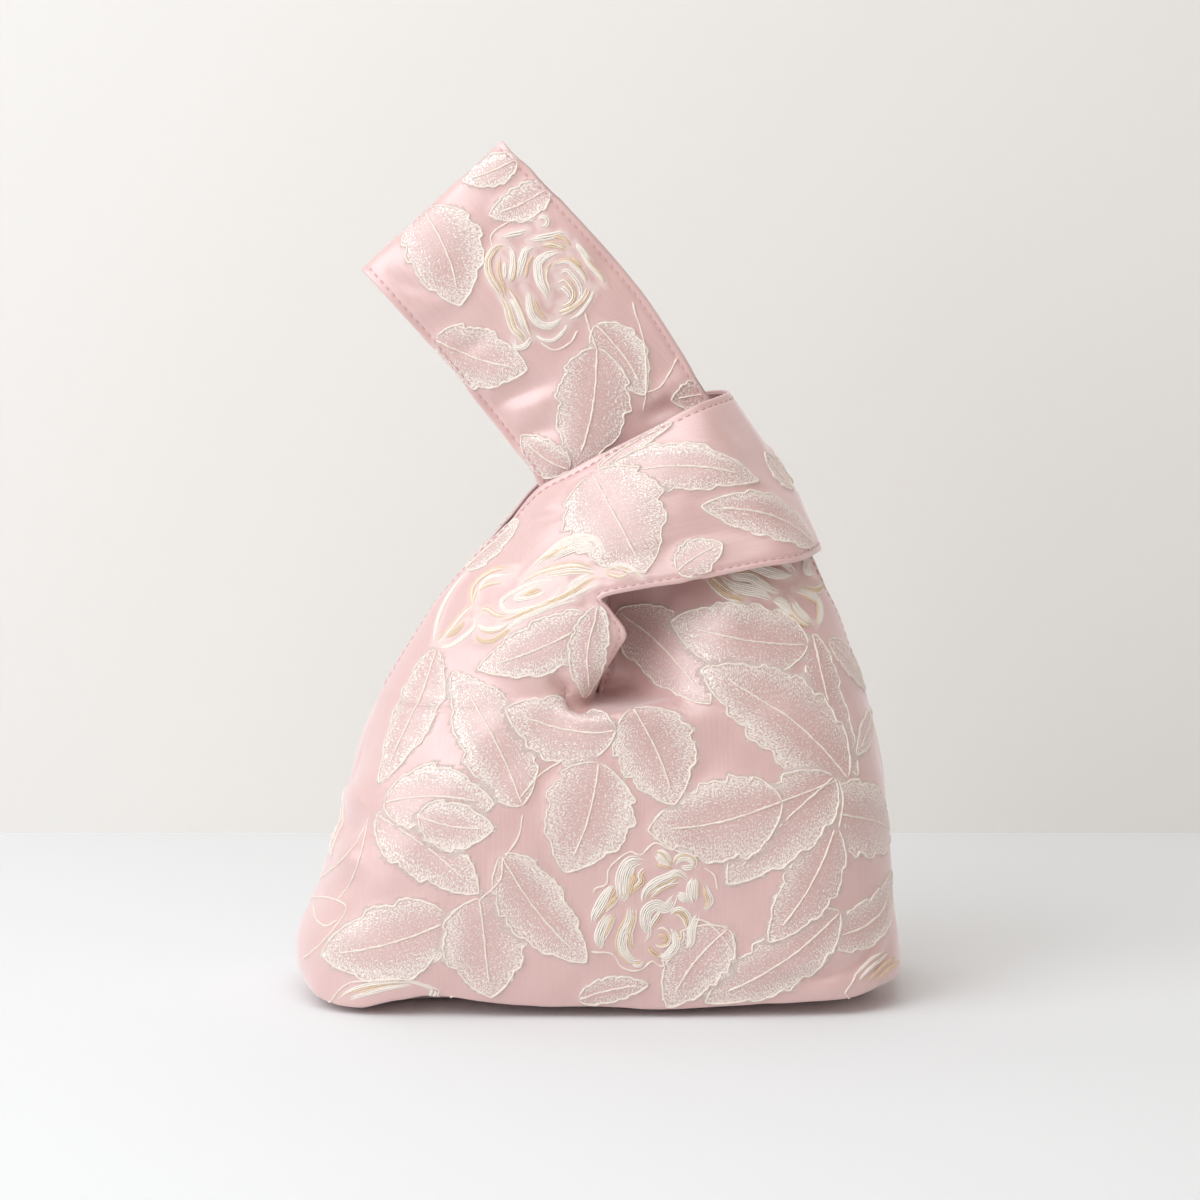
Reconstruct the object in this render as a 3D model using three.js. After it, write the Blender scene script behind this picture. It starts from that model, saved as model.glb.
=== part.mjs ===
// A soft knot bag. Each panel is cut in one with its half of the short and of the long handle.
// The long handle goes up through the loop of the short one and leans to the left.
// Millimetres, +Z up, the front of the bag towards -Y.
import * as THREE from "three";

// Thicknesses of the cloth, and the gaps kept between pieces.
const OUTER_CLOTH = 1.0;
const LINING_CLOTH = 0.6;
const LAYER_GAP = 0.4;
const SEAM_GAP = 0.4;

// Size of the body: half depths at the table and at the belly, and the line where both halves of a panel meet.
const BASE_HALF_DEPTH = 46.5;
const BELLY_HALF_DEPTH = 52;
const CENTRE_X = -1;

// How far each handle stands off the seam plane.
const BAND_FORWARD = 17;
const HANDLE_FORWARD = 9;

// Mesh steps: along a row to its crest, from the crest to the inner edge, and between stations.
const STEPS_TO_CREST = 6;
const STEPS_PAST_CREST = 2;
const STEPS_UP = 2;

const SEAM = SEAM_GAP / 2;

// The body from the bottom seam to the lip under the neckline: height at the middle, left edge and its height,
// right edge and its height, half depth, half depth at the centre line, how square the corners are,
// and the places of the left and right crests as shares of the way out from the centre line.
const BODY = [
  [0, -100, 3, 101, 7, SEAM, SEAM, 0.5, 0.32, 0.32],
  [0, -103, 4.5, 104, 8.5, 0.55 * BASE_HALF_DEPTH, 0.55 * BASE_HALF_DEPTH, 0.5, 0.32, 0.32],
  [0, -107, 8, 107.5, 12, BASE_HALF_DEPTH, BASE_HALF_DEPTH, 0.5, 0.32, 0.32],
  [3.5, -110, 14, 110, 15, 50, 50, 0.47, 0.32, 0.32],
  [18, -109.5, 25, 108.5, 27, 51.5, 51.5, 0.42, 0.32, 0.32],
  [42, -102, 43, 107, 44, BELLY_HALF_DEPTH, BELLY_HALF_DEPTH, 0.32, 0.31, 0.33],
  [62, -95, 63, 105.5, 63, 51.5, 51.5, 0.25, 0.28, 0.35],
  [82, -90.5, 82, 103, 82, 49.5, 49.5, 0.17, 0.23, 0.38],
  [98, -85.5, 97, 100, 97, 46.2, 46.8, 0.09, 0.18, 0.41],
  [106, -82.5, 104, 98.5, 104, 44, 45, 0.05, 0.16, 0.425],
  [109.5, -81, 108, 97.5, 108, 42.8, 39.5, 0.03, 0.15, 0.43],
];

// The bottom of the neckline, pushed into the bag under the lip.
const NECK = [CENTRE_X, 111.5, 28];

// A row of a half panel: outer edge, crest of the bulge and inner edge, each as across, up and forward,
// then how round the way to the crest is, how far the cloth turns in after it, and how square it is.
const row = (outer, crest, inner, round, turn, square = 0) => [...outer, ...crest, ...inner, round, turn, square];

const bodyRow = (edge, edgeUp, up, forward, centreForward, square, crestShare) => {
  const crestX = CENTRE_X + crestShare * (edge - CENTRE_X);
  return row([edge, edgeUp, SEAM], [crestX, up, forward], [CENTRE_X, up, centreForward], 1, 0, square);
};

// The left half of a panel, which ends in the band of the short handle.
const SHORT_SIDE = [
  ...BODY.map(([up, left, leftUp, , , ...rest]) => bodyRow(left, leftUp, up, ...rest.slice(0, 4))),
  row([-79.5, 111.5, SEAM], [-11, 115.5, 40.5], NECK, 1, 0.6),
  row([-72.8, 123.5, SEAM], [-6.5, 124, 41], [2, 121.5, 32], 0.9, 0.9),
  row([-63.7, 137.5, 1], [-2, 133.5, 41], [7, 131, 36], 0.8, 0.7),
  row([-54.6, 150, 1.4], [-4, 142.5, 40.5], [8.4, 137.5, 40], 0.7, 0.2),
  row([-45, 160.5, 2], [-9, 150.5, 38.5], [3.5, 145, 41], 0.6, 0),
  row([-34, 171.5, 5], [-9.5, 158.5, 36], [0.5, 150.5, 41], 0.5, 0),
  row([-21.8, 185.5, BAND_FORWARD - 5], [3, 164, 35.5], [14.6, 154, 41], 0.4, 0),
  row([-3.6, 196.5, BAND_FORWARD], [21, 169.5, 34.5], [32.8, 156.8, 40], 0.4, 0),
  row([18.2, 208.5, BAND_FORWARD + 2], [43, 176, 32], [55, 161, 37], 0.4, 0),
  row([36, 217, BAND_FORWARD], [61.5, 180.5, 25.5], [73.5, 163.3, 28.5], 0.4, 0),
  row([47, 219.5, SEAM], [74, 182.5, SEAM], [81.5, 163, SEAM], 0.2, 0),
];

// The right half of a panel, which passes under the band and ends in the long handle.
const LONG_SIDE = [
  ...BODY.map(([up, , , right, rightUp, ...rest]) => bodyRow(right, rightUp, up, ...rest.slice(0, 3), rest[4])),
  row([96.5, 111.5, SEAM], [42, 116.5, 40.5], NECK, 1, 0),
  row([92.5, 122.5, SEAM], [46, 131, 36.5], [1.5, 121, 18], 1, 0),
  row([87, 138.5, 1.5], [49, 147.5, 30.5], [1, 137, 14], 0.9, 0),
  row([79.5, 153.5, 4], [48, 162.5, 24], [0, 153, 12.5], 0.8, 0),
  row([67.5, 175, 6.5], [33, 179, 17.5], [-8, 169, 11.5], 0.7, 0),
  row([50.5, 200, 6.5], [5, 189.5, 11.5], [-19, 183, 9.5], 0.6, 0),
  row([36, 222.5, 6.5], [-5, 204.5, 10], [-27.5, 196, 8], 0.5, 0),
  row([14.6, 255.5, 7], [-31, 238.5, HANDLE_FORWARD + 1], [-54.6, 230, 7.5], 0.5, 0),
  row([-14.6, 288.5, 6.5], [-54.5, 265.5, HANDLE_FORWARD], [-74.6, 253, 6.5], 0.5, 0),
  row([-35.5, 309.5, SEAM], [-67.5, 281, SEAM], [-85.5, 264.5, SEAM], 0.4, 0),
];

const PLEAT_ROW = BODY.length;
const FORWARD_VALUES = [2, 5, 8];

const mix = (a, b, share) => a + (b - a) * share;

// A smooth curve through a list of rows. The last row is a fold, so the row past it is the one before, mirrored.
function through(rows, at) {
  const index = Math.min(Math.floor(at), rows.length - 2);
  const t = at - index;
  const last = rows[rows.length - 2].map((value, i) => (FORWARD_VALUES.includes(i) ? -value : value));
  const first = rows[0].map((value, i) => 2 * value - rows[1][i]);
  const pick = (i) => (i < 0 ? first : i >= rows.length ? last : rows[i]);
  const [a, b, c, d] = [-1, 0, 1, 2].map((step) => pick(index + step));
  return b.map((start, i) => {
    const leave = (c[i] - a[i]) / 2;
    const arrive = (d[i] - start) / 2;
    const bend = 2 * (start - c[i]) + leave + arrive;
    const lift = 3 * (c[i] - start) - 2 * leave - arrive;
    return start + t * (leave + t * (lift + t * bend));
  });
}

// The middle of the panel below the neckline, shared by both halves. Past the neckline it would run on inwards.
const CENTRE_BELOW = BODY.map(([up, , , , , , forward]) => [CENTRE_X, up, forward]);
const CENTRE = [...CENTRE_BELOW, NECK, [CENTRE_X, 112, 12]];

// A place on a half panel: u from the outer to the inner edge, counted in steps, v counted in rows.
function place(rows, step, v) {
  const values = through(rows, v);
  const outer = values.slice(0, 3);
  const crest = values.slice(3, 6);
  const inner = v < PLEAT_ROW ? through(CENTRE, v).slice(0, 3) : values.slice(6, 9);
  const [round, turn, square] = values.slice(9);
  const toCrest = step <= STEPS_TO_CREST;
  const t = toCrest ? step / STEPS_TO_CREST : (step - STEPS_TO_CREST) / STEPS_PAST_CREST;
  const angle = (t * Math.PI) / 2;
  const [back, side] = [Math.cos(angle), Math.sin(angle)].map((value) => Math.max(value, 0) ** (1 - square));
  const ease = t * t * (3 - 2 * t);
  const across = toCrest ? mix(t, 1 - back, round) : mix(t, side, turn);
  const forward = toCrest ? mix(t, side, round) : mix(ease, 1 - back, turn);
  const level = toCrest ? mix(across, forward, Math.min(2 * square, 1)) : across;
  const [from, to] = toCrest ? [outer, crest] : [crest, inner];
  return new THREE.Vector3(
    mix(from[0], to[0], across),
    -Math.max(mix(from[2], to[2], forward), SEAM),
    Math.max(mix(from[1], to[1], level), 0)
  );
}

// The right side of a whole front panel as a mesh of triangles, its two halves joined below the neckline.
function frontSheet() {
  const points = [];
  const faces = [];
  const known = new Map();
  const pointAt = (position) => {
    const key = position.toArray().map((value) => value.toFixed(3)).join();
    if (!known.has(key)) {
      known.set(key, points.length);
      points.push(position);
    }
    return known.get(key);
  };
  for (const [rows, flip] of [[SHORT_SIDE, false], [LONG_SIDE, true]]) {
    const columns = STEPS_TO_CREST + STEPS_PAST_CREST;
    const grid = [];
    for (let j = 0; j <= (rows.length - 1) * STEPS_UP; j += 1) {
      grid.push(Array.from({ length: columns + 1 }, (_, i) => pointAt(place(rows, i, j / STEPS_UP))));
    }
    for (let j = 0; j + 1 < grid.length; j += 1) {
      for (let i = 0; i < columns; i += 1) {
        const [a, b, c, d] = [grid[j][i], grid[j][i + 1], grid[j + 1][i + 1], grid[j + 1][i]];
        faces.push(...(flip ? [[a, c, b], [a, d, c]] : [[a, b, c], [a, c, d]]));
      }
    }
  }
  return { points, faces };
}

// Directions square to the sheet at its points, outwards.
function directions({ points, faces }) {
  const sums = points.map(() => new THREE.Vector3());
  for (const face of faces) {
    const [a, b, c] = face.map((index) => points[index]);
    const across = b.clone().sub(a).cross(c.clone().sub(a));
    face.forEach((index) => sums[index].add(across));
  }
  return sums.map((sum) => sum.normalize());
}

// Cloth between two depths under the sheet, as one closed body.
function cloth(sheet, outward, nearDepth, farDepth, mirrored) {
  const count = sheet.points.length;
  const layer = (depth) =>
    sheet.points.map((point, i) => {
      const moved = point.clone().addScaledVector(outward[i], -depth);
      moved.y = Math.min(moved.y, -SEAM);
      moved.z = Math.max(moved.z, nearDepth);
      return moved;
    });
  const points = [...layer(nearDepth), ...layer(farDepth)];
  const faces = sheet.faces.flatMap(([a, b, c]) => [[a, b, c], [a + count, c + count, b + count]]);
  const edges = new Set(sheet.faces.flatMap(([a, b, c]) => [`${a},${b}`, `${b},${c}`, `${c},${a}`]));
  for (const edge of edges) {
    const [a, b] = edge.split(",").map(Number);
    if (!edges.has(`${b},${a}`)) {
      faces.push([b, a, a + count], [b, a + count, b + count]);
    }
  }
  const geometry = new THREE.BufferGeometry();
  const numbers = points.flatMap((point) => [point.x, mirrored ? -point.y : point.y, point.z]);
  const rounded = numbers.map((value) => Number(value.toFixed(4)));
  geometry.setAttribute("position", new THREE.Float32BufferAttribute(rounded, 3));
  geometry.setIndex(faces.flatMap(([a, b, c]) => (mirrored ? [a, c, b] : [a, b, c])));
  geometry.computeVertexNormals();
  return geometry;
}

const satin = new THREE.MeshStandardMaterial({ color: "#e3bfc0", roughness: 0.42, metalness: 0 });
const liningCloth = new THREE.MeshStandardMaterial({ color: "#dcb2b4", roughness: 0.6, metalness: 0 });

const bag = new THREE.Group();
bag.name = "knot_bag";

const sheet = frontSheet();
const outward = directions(sheet);
const liningNear = OUTER_CLOTH + LAYER_GAP;
const liningFar = liningNear + LINING_CLOTH;

const pieces = [
  ["outer_front_panel", 0, OUTER_CLOTH, false, satin],
  ["outer_back_panel", 0, OUTER_CLOTH, true, satin],
  ["lining_front_panel", liningNear, liningFar, false, liningCloth],
  ["lining_back_panel", liningNear, liningFar, true, liningCloth],
];

for (const [name, near, far, mirrored, material] of pieces) {
  const mesh = new THREE.Mesh(cloth(sheet, outward, near, far, mirrored), material);
  mesh.name = name;
  bag.add(mesh);
}

export default bag;
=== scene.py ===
import math

import bpy
import numpy as np
from mathutils.kdtree import KDTree
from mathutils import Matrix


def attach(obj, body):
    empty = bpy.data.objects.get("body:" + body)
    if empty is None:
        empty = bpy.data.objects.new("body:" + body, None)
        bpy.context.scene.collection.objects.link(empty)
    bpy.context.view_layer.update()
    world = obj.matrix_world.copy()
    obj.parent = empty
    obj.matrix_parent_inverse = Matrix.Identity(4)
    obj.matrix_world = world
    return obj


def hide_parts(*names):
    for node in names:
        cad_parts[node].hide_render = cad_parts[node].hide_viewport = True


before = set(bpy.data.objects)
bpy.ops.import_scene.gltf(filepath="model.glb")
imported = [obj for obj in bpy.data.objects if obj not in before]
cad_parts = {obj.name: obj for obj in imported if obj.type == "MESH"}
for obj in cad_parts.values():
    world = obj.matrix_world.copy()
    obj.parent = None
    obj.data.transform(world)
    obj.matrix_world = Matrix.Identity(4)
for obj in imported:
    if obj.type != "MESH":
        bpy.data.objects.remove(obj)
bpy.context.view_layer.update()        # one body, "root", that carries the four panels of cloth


# The camera. It stands straight in front of the bag and a little above the table, with a long lens.
# The needlework below is placed by pixels of the photograph, so the view is worked out first.
PHOTO_PIXELS = 1200
SENSOR_MM = 36.0
VIEW_WIDTH = 0.4368
CAMERA_DISTANCE = 1.5
CAMERA_TILT = math.radians(8.0)
CAMERA_AIM = np.array((0.0, 0.0, 0.1438))
camera_ahead = np.array((0.0, math.cos(CAMERA_TILT), -math.sin(CAMERA_TILT)))
camera_up = np.array((0.0, math.sin(CAMERA_TILT), math.cos(CAMERA_TILT)))
camera_place = CAMERA_AIM - CAMERA_DISTANCE * camera_ahead
lens_mm = SENSOR_MM * CAMERA_DISTANCE / VIEW_WIDTH
camera_data = bpy.data.cameras.new("camera")
camera_data.lens = lens_mm
camera_data.sensor_width = SENSOR_MM
camera = bpy.data.objects.new("camera", camera_data)
camera.location = camera_place
camera.rotation_euler = (math.pi / 2 - CAMERA_TILT, 0.0, 0.0)
bpy.context.scene.collection.objects.link(camera)
bpy.context.scene.camera = camera

MM = 0.001


def photo_pixel(points_mm):
    """Where points of the bag fall in the photograph."""
    offset = points_mm * MM - camera_place
    scale = PHOTO_PIXELS * lens_mm / SENSOR_MM / (offset @ camera_ahead)
    right = scale * offset[:, 0]
    up = scale * (offset @ camera_up)
    return np.stack((PHOTO_PIXELS / 2 + right, PHOTO_PIXELS / 2 - up), axis=1)


# The satin panels. Front and back are each one cut of satin: half of the body and half of both handles.
# They are sewn together down the sides, under the base and across the handles' folds, and the right
# handle is passed through the left one, which turns over into a band across the neck.
SEAM = 0.56
BASE_HALF_DEPTH = 46.5
BELLY_HALF_DEPTH = 52.0
CENTRE_X = -1.0
NECK = (CENTRE_X, 111.5, 17.0)


def row(outer, crest, inner, roundness, turn, square=0.0):
    """One level of half a panel: edge, crest and inner line, each as across, up and forward."""
    return [*outer, *crest, *inner, roundness, turn, square]


def body_rows(side):
    """The levels of the body on one side, from the seam under the base up to the neck."""
    left_edge, left_share, right_edge, right_share = 1, 8, 3, 9
    edge, share = (left_edge, left_share) if side == "left" else (right_edge, right_share)
    rows = []
    for level in BODY:
        up, forward, centre_forward, square = level[0], level[5], level[6], level[7]
        crest_x = CENTRE_X + level[share] * (level[edge] - CENTRE_X)
        outer = (level[edge], level[edge + 1], SEAM)
        rows.append(row(outer, (crest_x, up, forward), (CENTRE_X, up, centre_forward), 1.0, 0.0, square))
    return rows


# Up, left edge across and up, right edge across and up, half depth at the crest and at the centre line,
# squareness of the plan, and how far out the crest of the left and of the right half stands.
BODY = [
    (0, -100, 3, 101, 7, SEAM, SEAM, 0.5, 0.32, 0.32),
    (0, -103, 4.5, 104, 8.5, 0.55 * BASE_HALF_DEPTH, 0.55 * BASE_HALF_DEPTH, 0.5, 0.32, 0.32),
    (0, -107, 8, 107.5, 12, BASE_HALF_DEPTH, BASE_HALF_DEPTH, 0.5, 0.32, 0.32),
    (3.5, -110, 14, 110, 15, 50, 50, 0.47, 0.32, 0.32),
    (18, -109.5, 25, 108.5, 27, 51.5, 51.5, 0.42, 0.32, 0.32),
    (42, -102, 43, 107, 44, BELLY_HALF_DEPTH, BELLY_HALF_DEPTH, 0.32, 0.31, 0.33),
    (62, -95, 63, 105.5, 63, 51.5, 51.5, 0.25, 0.28, 0.35),
    (82, -90.5, 82, 103, 82, 49.5, 49.5, 0.17, 0.23, 0.38),
    (98, -85.5, 97, 100, 97, 46.2, 46.8, 0.09, 0.18, 0.41),
    (106, -82.5, 104, 98.5, 104, 44, 45.5, 0.05, 0.16, 0.425),
    (109.5, -81, 108, 97.5, 108, 42.8, 39, 0.03, 0.15, 0.43),
]
SHORT_HANDLE = np.array(body_rows("left") + [
    row((-79.5, 111.5, SEAM), (-11, 115.5, 40.5), NECK, 1, 0.6),
    row((-72.8, 123.5, SEAM), (-6.5, 124, 41), (2, 121.5, 32), 0.9, 0.9),
    row((-63.7, 137.5, 1), (-2, 133.5, 41), (7, 131, 36), 0.8, 0.7),
    row((-54.6, 150, 1.4), (-4, 142.5, 40.5), (8.4, 137.5, 40), 0.7, 0.2),
    row((-45, 160.5, 2), (-9, 150.5, 38.5), (3.5, 145, 41), 0.6, 0),
    row((-34, 171.5, 5), (-9.5, 158.5, 36), (0.5, 150.5, 41), 0.5, 0),
    row((-21.8, 185.5, 12), (3, 164, 35.5), (14.6, 154, 41), 0.4, 0),
    row((-3.6, 196.5, 17), (21, 169.5, 34.5), (32.8, 156.8, 40), 0.4, 0),
    row((18.2, 208.5, 19), (43, 176, 32), (55, 161, 37), 0.4, 0),
    row((36, 217, 17), (61.5, 180.5, 25.5), (72, 162.8, 28.5), 0.4, 0),
    row((47, 219.5, SEAM), (72.5, 182, SEAM), (79.5, 163.5, SEAM), 0.2, 0),
])
LONG_HANDLE = np.array(body_rows("right") + [
    row((96.5, 111.5, SEAM), (42, 116.5, 40.5), NECK, 1, 0),
    row((92.5, 122.5, SEAM), (46, 131, 36.5), (1.5, 121, 18), 1, 0),
    row((87, 138.5, 1.5), (49, 147.5, 30.5), (1, 137, 14), 0.9, 0),
    row((79.5, 153.5, 4), (48, 162.5, 24), (0, 153, 12.5), 0.8, 0),
    row((67.5, 175, 6.5), (33, 179, 17.5), (-8, 169, 11.5), 0.7, 0),
    row((50.5, 200, 6.5), (5, 189.5, 11.5), (-19, 183, 9.5), 0.6, 0),
    row((36, 222.5, 6.5), (-5, 204.5, 10), (-27.5, 196, 8), 0.5, 0),
    row((14.6, 255.5, 7), (-31, 238.5, 10), (-54.6, 230, 7.5), 0.5, 0),
    row((-14.6, 288.5, 6.5), (-54.5, 265.5, 9), (-74.6, 253, 6.5), 0.5, 0),
    row((-35.5, 309.5, SEAM), (-67.5, 281, SEAM), (-85.5, 264.5, SEAM), 0.4, 0),
])
NECK_ROW = len(BODY)
CENTRE_LINE = np.array([(CENTRE_X, level[0], level[6]) for level in BODY] + [NECK, (CENTRE_X, 112, 12)])
FORWARD_VALUES = [2, 5, 8]


def through(rows, at):
    """A smooth curve through the rows; past the last one it comes down again on the other side."""
    before = 2 * rows[0] - rows[1]
    past = rows[-2].copy()
    past[[i for i in FORWARD_VALUES if i < len(past)]] *= -1
    padded = np.vstack((before, rows, past))
    index = np.minimum(at.astype(int), len(rows) - 2)
    t = (at - index)[:, None]
    a, b, c, d = (padded[index + k] for k in range(4))
    leave = (c - a) / 2
    arrive = (d - b) / 2
    return b + t * (leave + t * (3 * (c - b) - 2 * leave - arrive + t * (2 * (b - c) + leave + arrive)))


COLUMNS = 84
ROW_STEP = 1.5
LINE_STEPS = 120
TRIAL_LEVELS = 40
EVEN = np.linspace(0, 1, COLUMNS + 1)
SPREAD = EVEN - 0.5 * np.sin(2 * math.pi * EVEN) / (2 * math.pi)


def mix(a, b, share):
    return a + (b - a) * share


def half_cloth(rows, levels):
    """Points of half a panel at the given levels, from its edge to its inner line, closer near both."""
    values = through(rows, levels)[:, :, None]
    centre = through(CENTRE_LINE, np.minimum(levels, NECK_ROW))[:, :, None]
    outer, crest, inner = values[:, 0:3], values[:, 3:6], values[:, 6:9]
    inner = np.where((levels < NECK_ROW)[:, None, None], centre, inner)
    roundness, turn, square = values[:, 9], values[:, 10], np.clip(values[:, 11], 0, 0.5)
    t = np.linspace(0, 1, LINE_STEPS + 1)[None, :]
    back = np.clip(np.cos(t * math.pi / 2), 0, 1) ** (1 - square)
    side = np.sin(t * math.pi / 2) ** (1 - square)
    across = mix(t, 1 - back, roundness)
    forward = mix(t, side, roundness)
    level = mix(across, forward, np.minimum(2 * square, 1))
    to_crest = [mix(outer[:, k], crest[:, k], share) for k, share in enumerate((across, level, forward))]
    across = mix(t, side, turn)
    forward = mix(t * t * (3 - 2 * t), 1 - back, turn)
    past_crest = [mix(crest[:, k], inner[:, k], share) for k, share in enumerate((across, across, forward))]
    x, up, depth = (np.concatenate((a, b[:, 1:]), axis=1) for a, b in zip(to_crest, past_crest))
    lines = np.stack((x, -np.maximum(depth, SEAM), np.maximum(up, 0)), axis=2)
    lengths = np.cumsum(np.linalg.norm(np.diff(lines, axis=1), axis=2), axis=1)
    lengths = np.concatenate((np.zeros((len(levels), 1)), lengths), axis=1)
    points = np.empty((len(levels), COLUMNS + 1, 3))
    for i, (line, length) in enumerate(zip(lines, lengths)):
        for k in range(3):
            points[i, :, k] = np.interp(SPREAD * length[-1], length, line[:, k])
    return points


def even_levels(halves, first, last):
    """Levels from first to last that lie about one row step apart on the cloth."""
    fine = np.linspace(first, last, TRIAL_LEVELS * (last - first) + 1)
    step = np.zeros(len(fine) - 1)
    for rows in halves:
        lines = half_cloth(rows, fine)[:, :: COLUMNS // 4]
        step = np.maximum(step, np.linalg.norm(np.diff(lines, axis=0), axis=2).max(axis=1))
    run = np.concatenate(([0], np.cumsum(step)))
    return np.interp(np.linspace(0, run[-1], math.ceil(run[-1] / ROW_STEP) + 1), run, fine)


body_levels = even_levels((SHORT_HANDLE, LONG_HANDLE), 0, NECK_ROW)
short_levels = even_levels((SHORT_HANDLE,), NECK_ROW, len(SHORT_HANDLE) - 1)[1:]
long_levels = even_levels((LONG_HANDLE,), NECK_ROW, len(LONG_HANDLE) - 1)[1:]
BODY_ROWS = len(body_levels)
WIDE = 2 * COLUMNS + 1
body_left = half_cloth(SHORT_HANDLE, body_levels)
body_right = half_cloth(LONG_HANDLE, body_levels)[:, -2::-1]
body_points = np.concatenate((body_left, body_right), axis=1).reshape(-1, 3)
short_points = half_cloth(SHORT_HANDLE, short_levels).reshape(-1, 3)
long_points = half_cloth(LONG_HANDLE, long_levels)[:, ::-1].reshape(-1, 3)
flat_points = np.concatenate((body_points, short_points, long_points))

body_ids = np.arange(BODY_ROWS * WIDE).reshape(BODY_ROWS, WIDE)
short_ids = body_ids.size + np.arange(len(short_points)).reshape(-1, COLUMNS + 1)
long_ids = body_ids.size + len(short_points) + np.arange(len(long_points)).reshape(-1, COLUMNS + 1)
short_grid = np.concatenate((body_ids, np.pad(short_ids, ((0, 0), (0, COLUMNS)), mode="edge")))
long_grid = np.concatenate((body_ids, np.pad(long_ids, ((0, 0), (COLUMNS, 0)), mode="edge")))
GRIDS = {"short": short_grid, "long": long_grid}


def cells(ids):
    """The four-sided faces between the points of a grid."""
    return np.stack((ids[:-1, :-1], ids[:-1, 1:], ids[1:, 1:], ids[1:, :-1]), axis=2).reshape(-1, 4)


panel_faces = np.concatenate((
    cells(body_ids),
    cells(short_grid[BODY_ROWS - 1:, :COLUMNS + 1]),
    cells(long_grid[BODY_ROWS - 1:, COLUMNS:]),
))


def edge_loop(faces):
    """The points round the edge of a sheet, in order."""
    starts = faces.ravel()
    ends = np.roll(faces, -1, axis=1).ravel()
    inner = set(zip(ends.tolist(), starts.tolist()))
    follows = {a: b for a, b in zip(starts.tolist(), ends.tolist()) if (a, b) not in inner}
    loop = [next(iter(follows))]
    while follows[loop[-1]] != loop[0]:
        loop.append(follows[loop[-1]])
    return np.array(loop)


panel_edge = edge_loop(panel_faces)


def facing(points, faces):
    """The direction square to the cloth at each point."""
    a, b, c, d = (points[faces[:, k]] for k in range(4))
    square = np.cross(c - a, d - b)
    total = np.zeros_like(points)
    for k in range(4):
        np.add.at(total, faces[:, k], square)
    return total / np.maximum(np.linalg.norm(total, axis=1, keepdims=True), 1e-9)


face_starts = panel_faces.ravel()
face_ends = np.roll(panel_faces, -1, axis=1).ravel()
neighbour_from = np.concatenate((face_starts, face_ends))
neighbour_to = np.concatenate((face_ends, face_starts))
neighbour_count = np.bincount(neighbour_from, minlength=len(flat_points))[:, None]
SOFTEN_ROUNDS = 4


def softened(points):
    """Takes sharp ridges out of the cloth by moving points square to it; the edges stay."""
    points = points.copy()
    for _ in range(SOFTEN_ROUNDS):
        around = np.zeros_like(points)
        np.add.at(around, neighbour_from, points[neighbour_to])
        normals = facing(points, panel_faces)
        pull = np.sum((around / neighbour_count - points) * normals, axis=1, keepdims=True) * normals
        pull[panel_edge] = 0
        points += 0.5 * pull
    return points


SWELL_WAVES = 7
SWELL_SHARE = 1 / 3


def swell(points, size, seed):
    """Slow swells and hollows of about that size, between about -1 and 1."""
    draw = np.random.default_rng(seed)
    total = np.zeros(len(points))
    for _ in range(SWELL_WAVES):
        direction = draw.normal(size=3)
        direction /= np.linalg.norm(direction)
        waves = draw.uniform(0.6, 1.3) / size
        total += np.sin(2 * math.pi * (points @ direction * waves + draw.uniform()))
    return total * SWELL_SHARE


SWELLS = ((52.0, 0.9), (21.0, 0.32), (9.0, 0.07))
SWELL_FADE = 7.0
CLOTH_THICK = 1.2
HEM_INSET = 1.9
HEM_DIP = 0.3
HEM_SOFT = 0.9
MM_PER_PIXEL = VIEW_WIDTH / MM / PHOTO_PIXELS


def curve_through(stops, count):
    """Points on a smooth curve through a few given stops."""
    stops = np.array(stops, dtype=float)
    padded = np.vstack((2 * stops[0] - stops[1], stops, 2 * stops[-1] - stops[-2]))
    at = np.linspace(0, len(stops) - 1, count)
    index = np.minimum(at.astype(int), len(stops) - 2)
    t = (at - index)[:, None]
    a, b, c, d = (padded[index + k] for k in range(4))
    return b + t / 2 * (c - a + t * (2 * a - 5 * b + 4 * c - d + t * (3 * (b - c) + d - a)))


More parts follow.
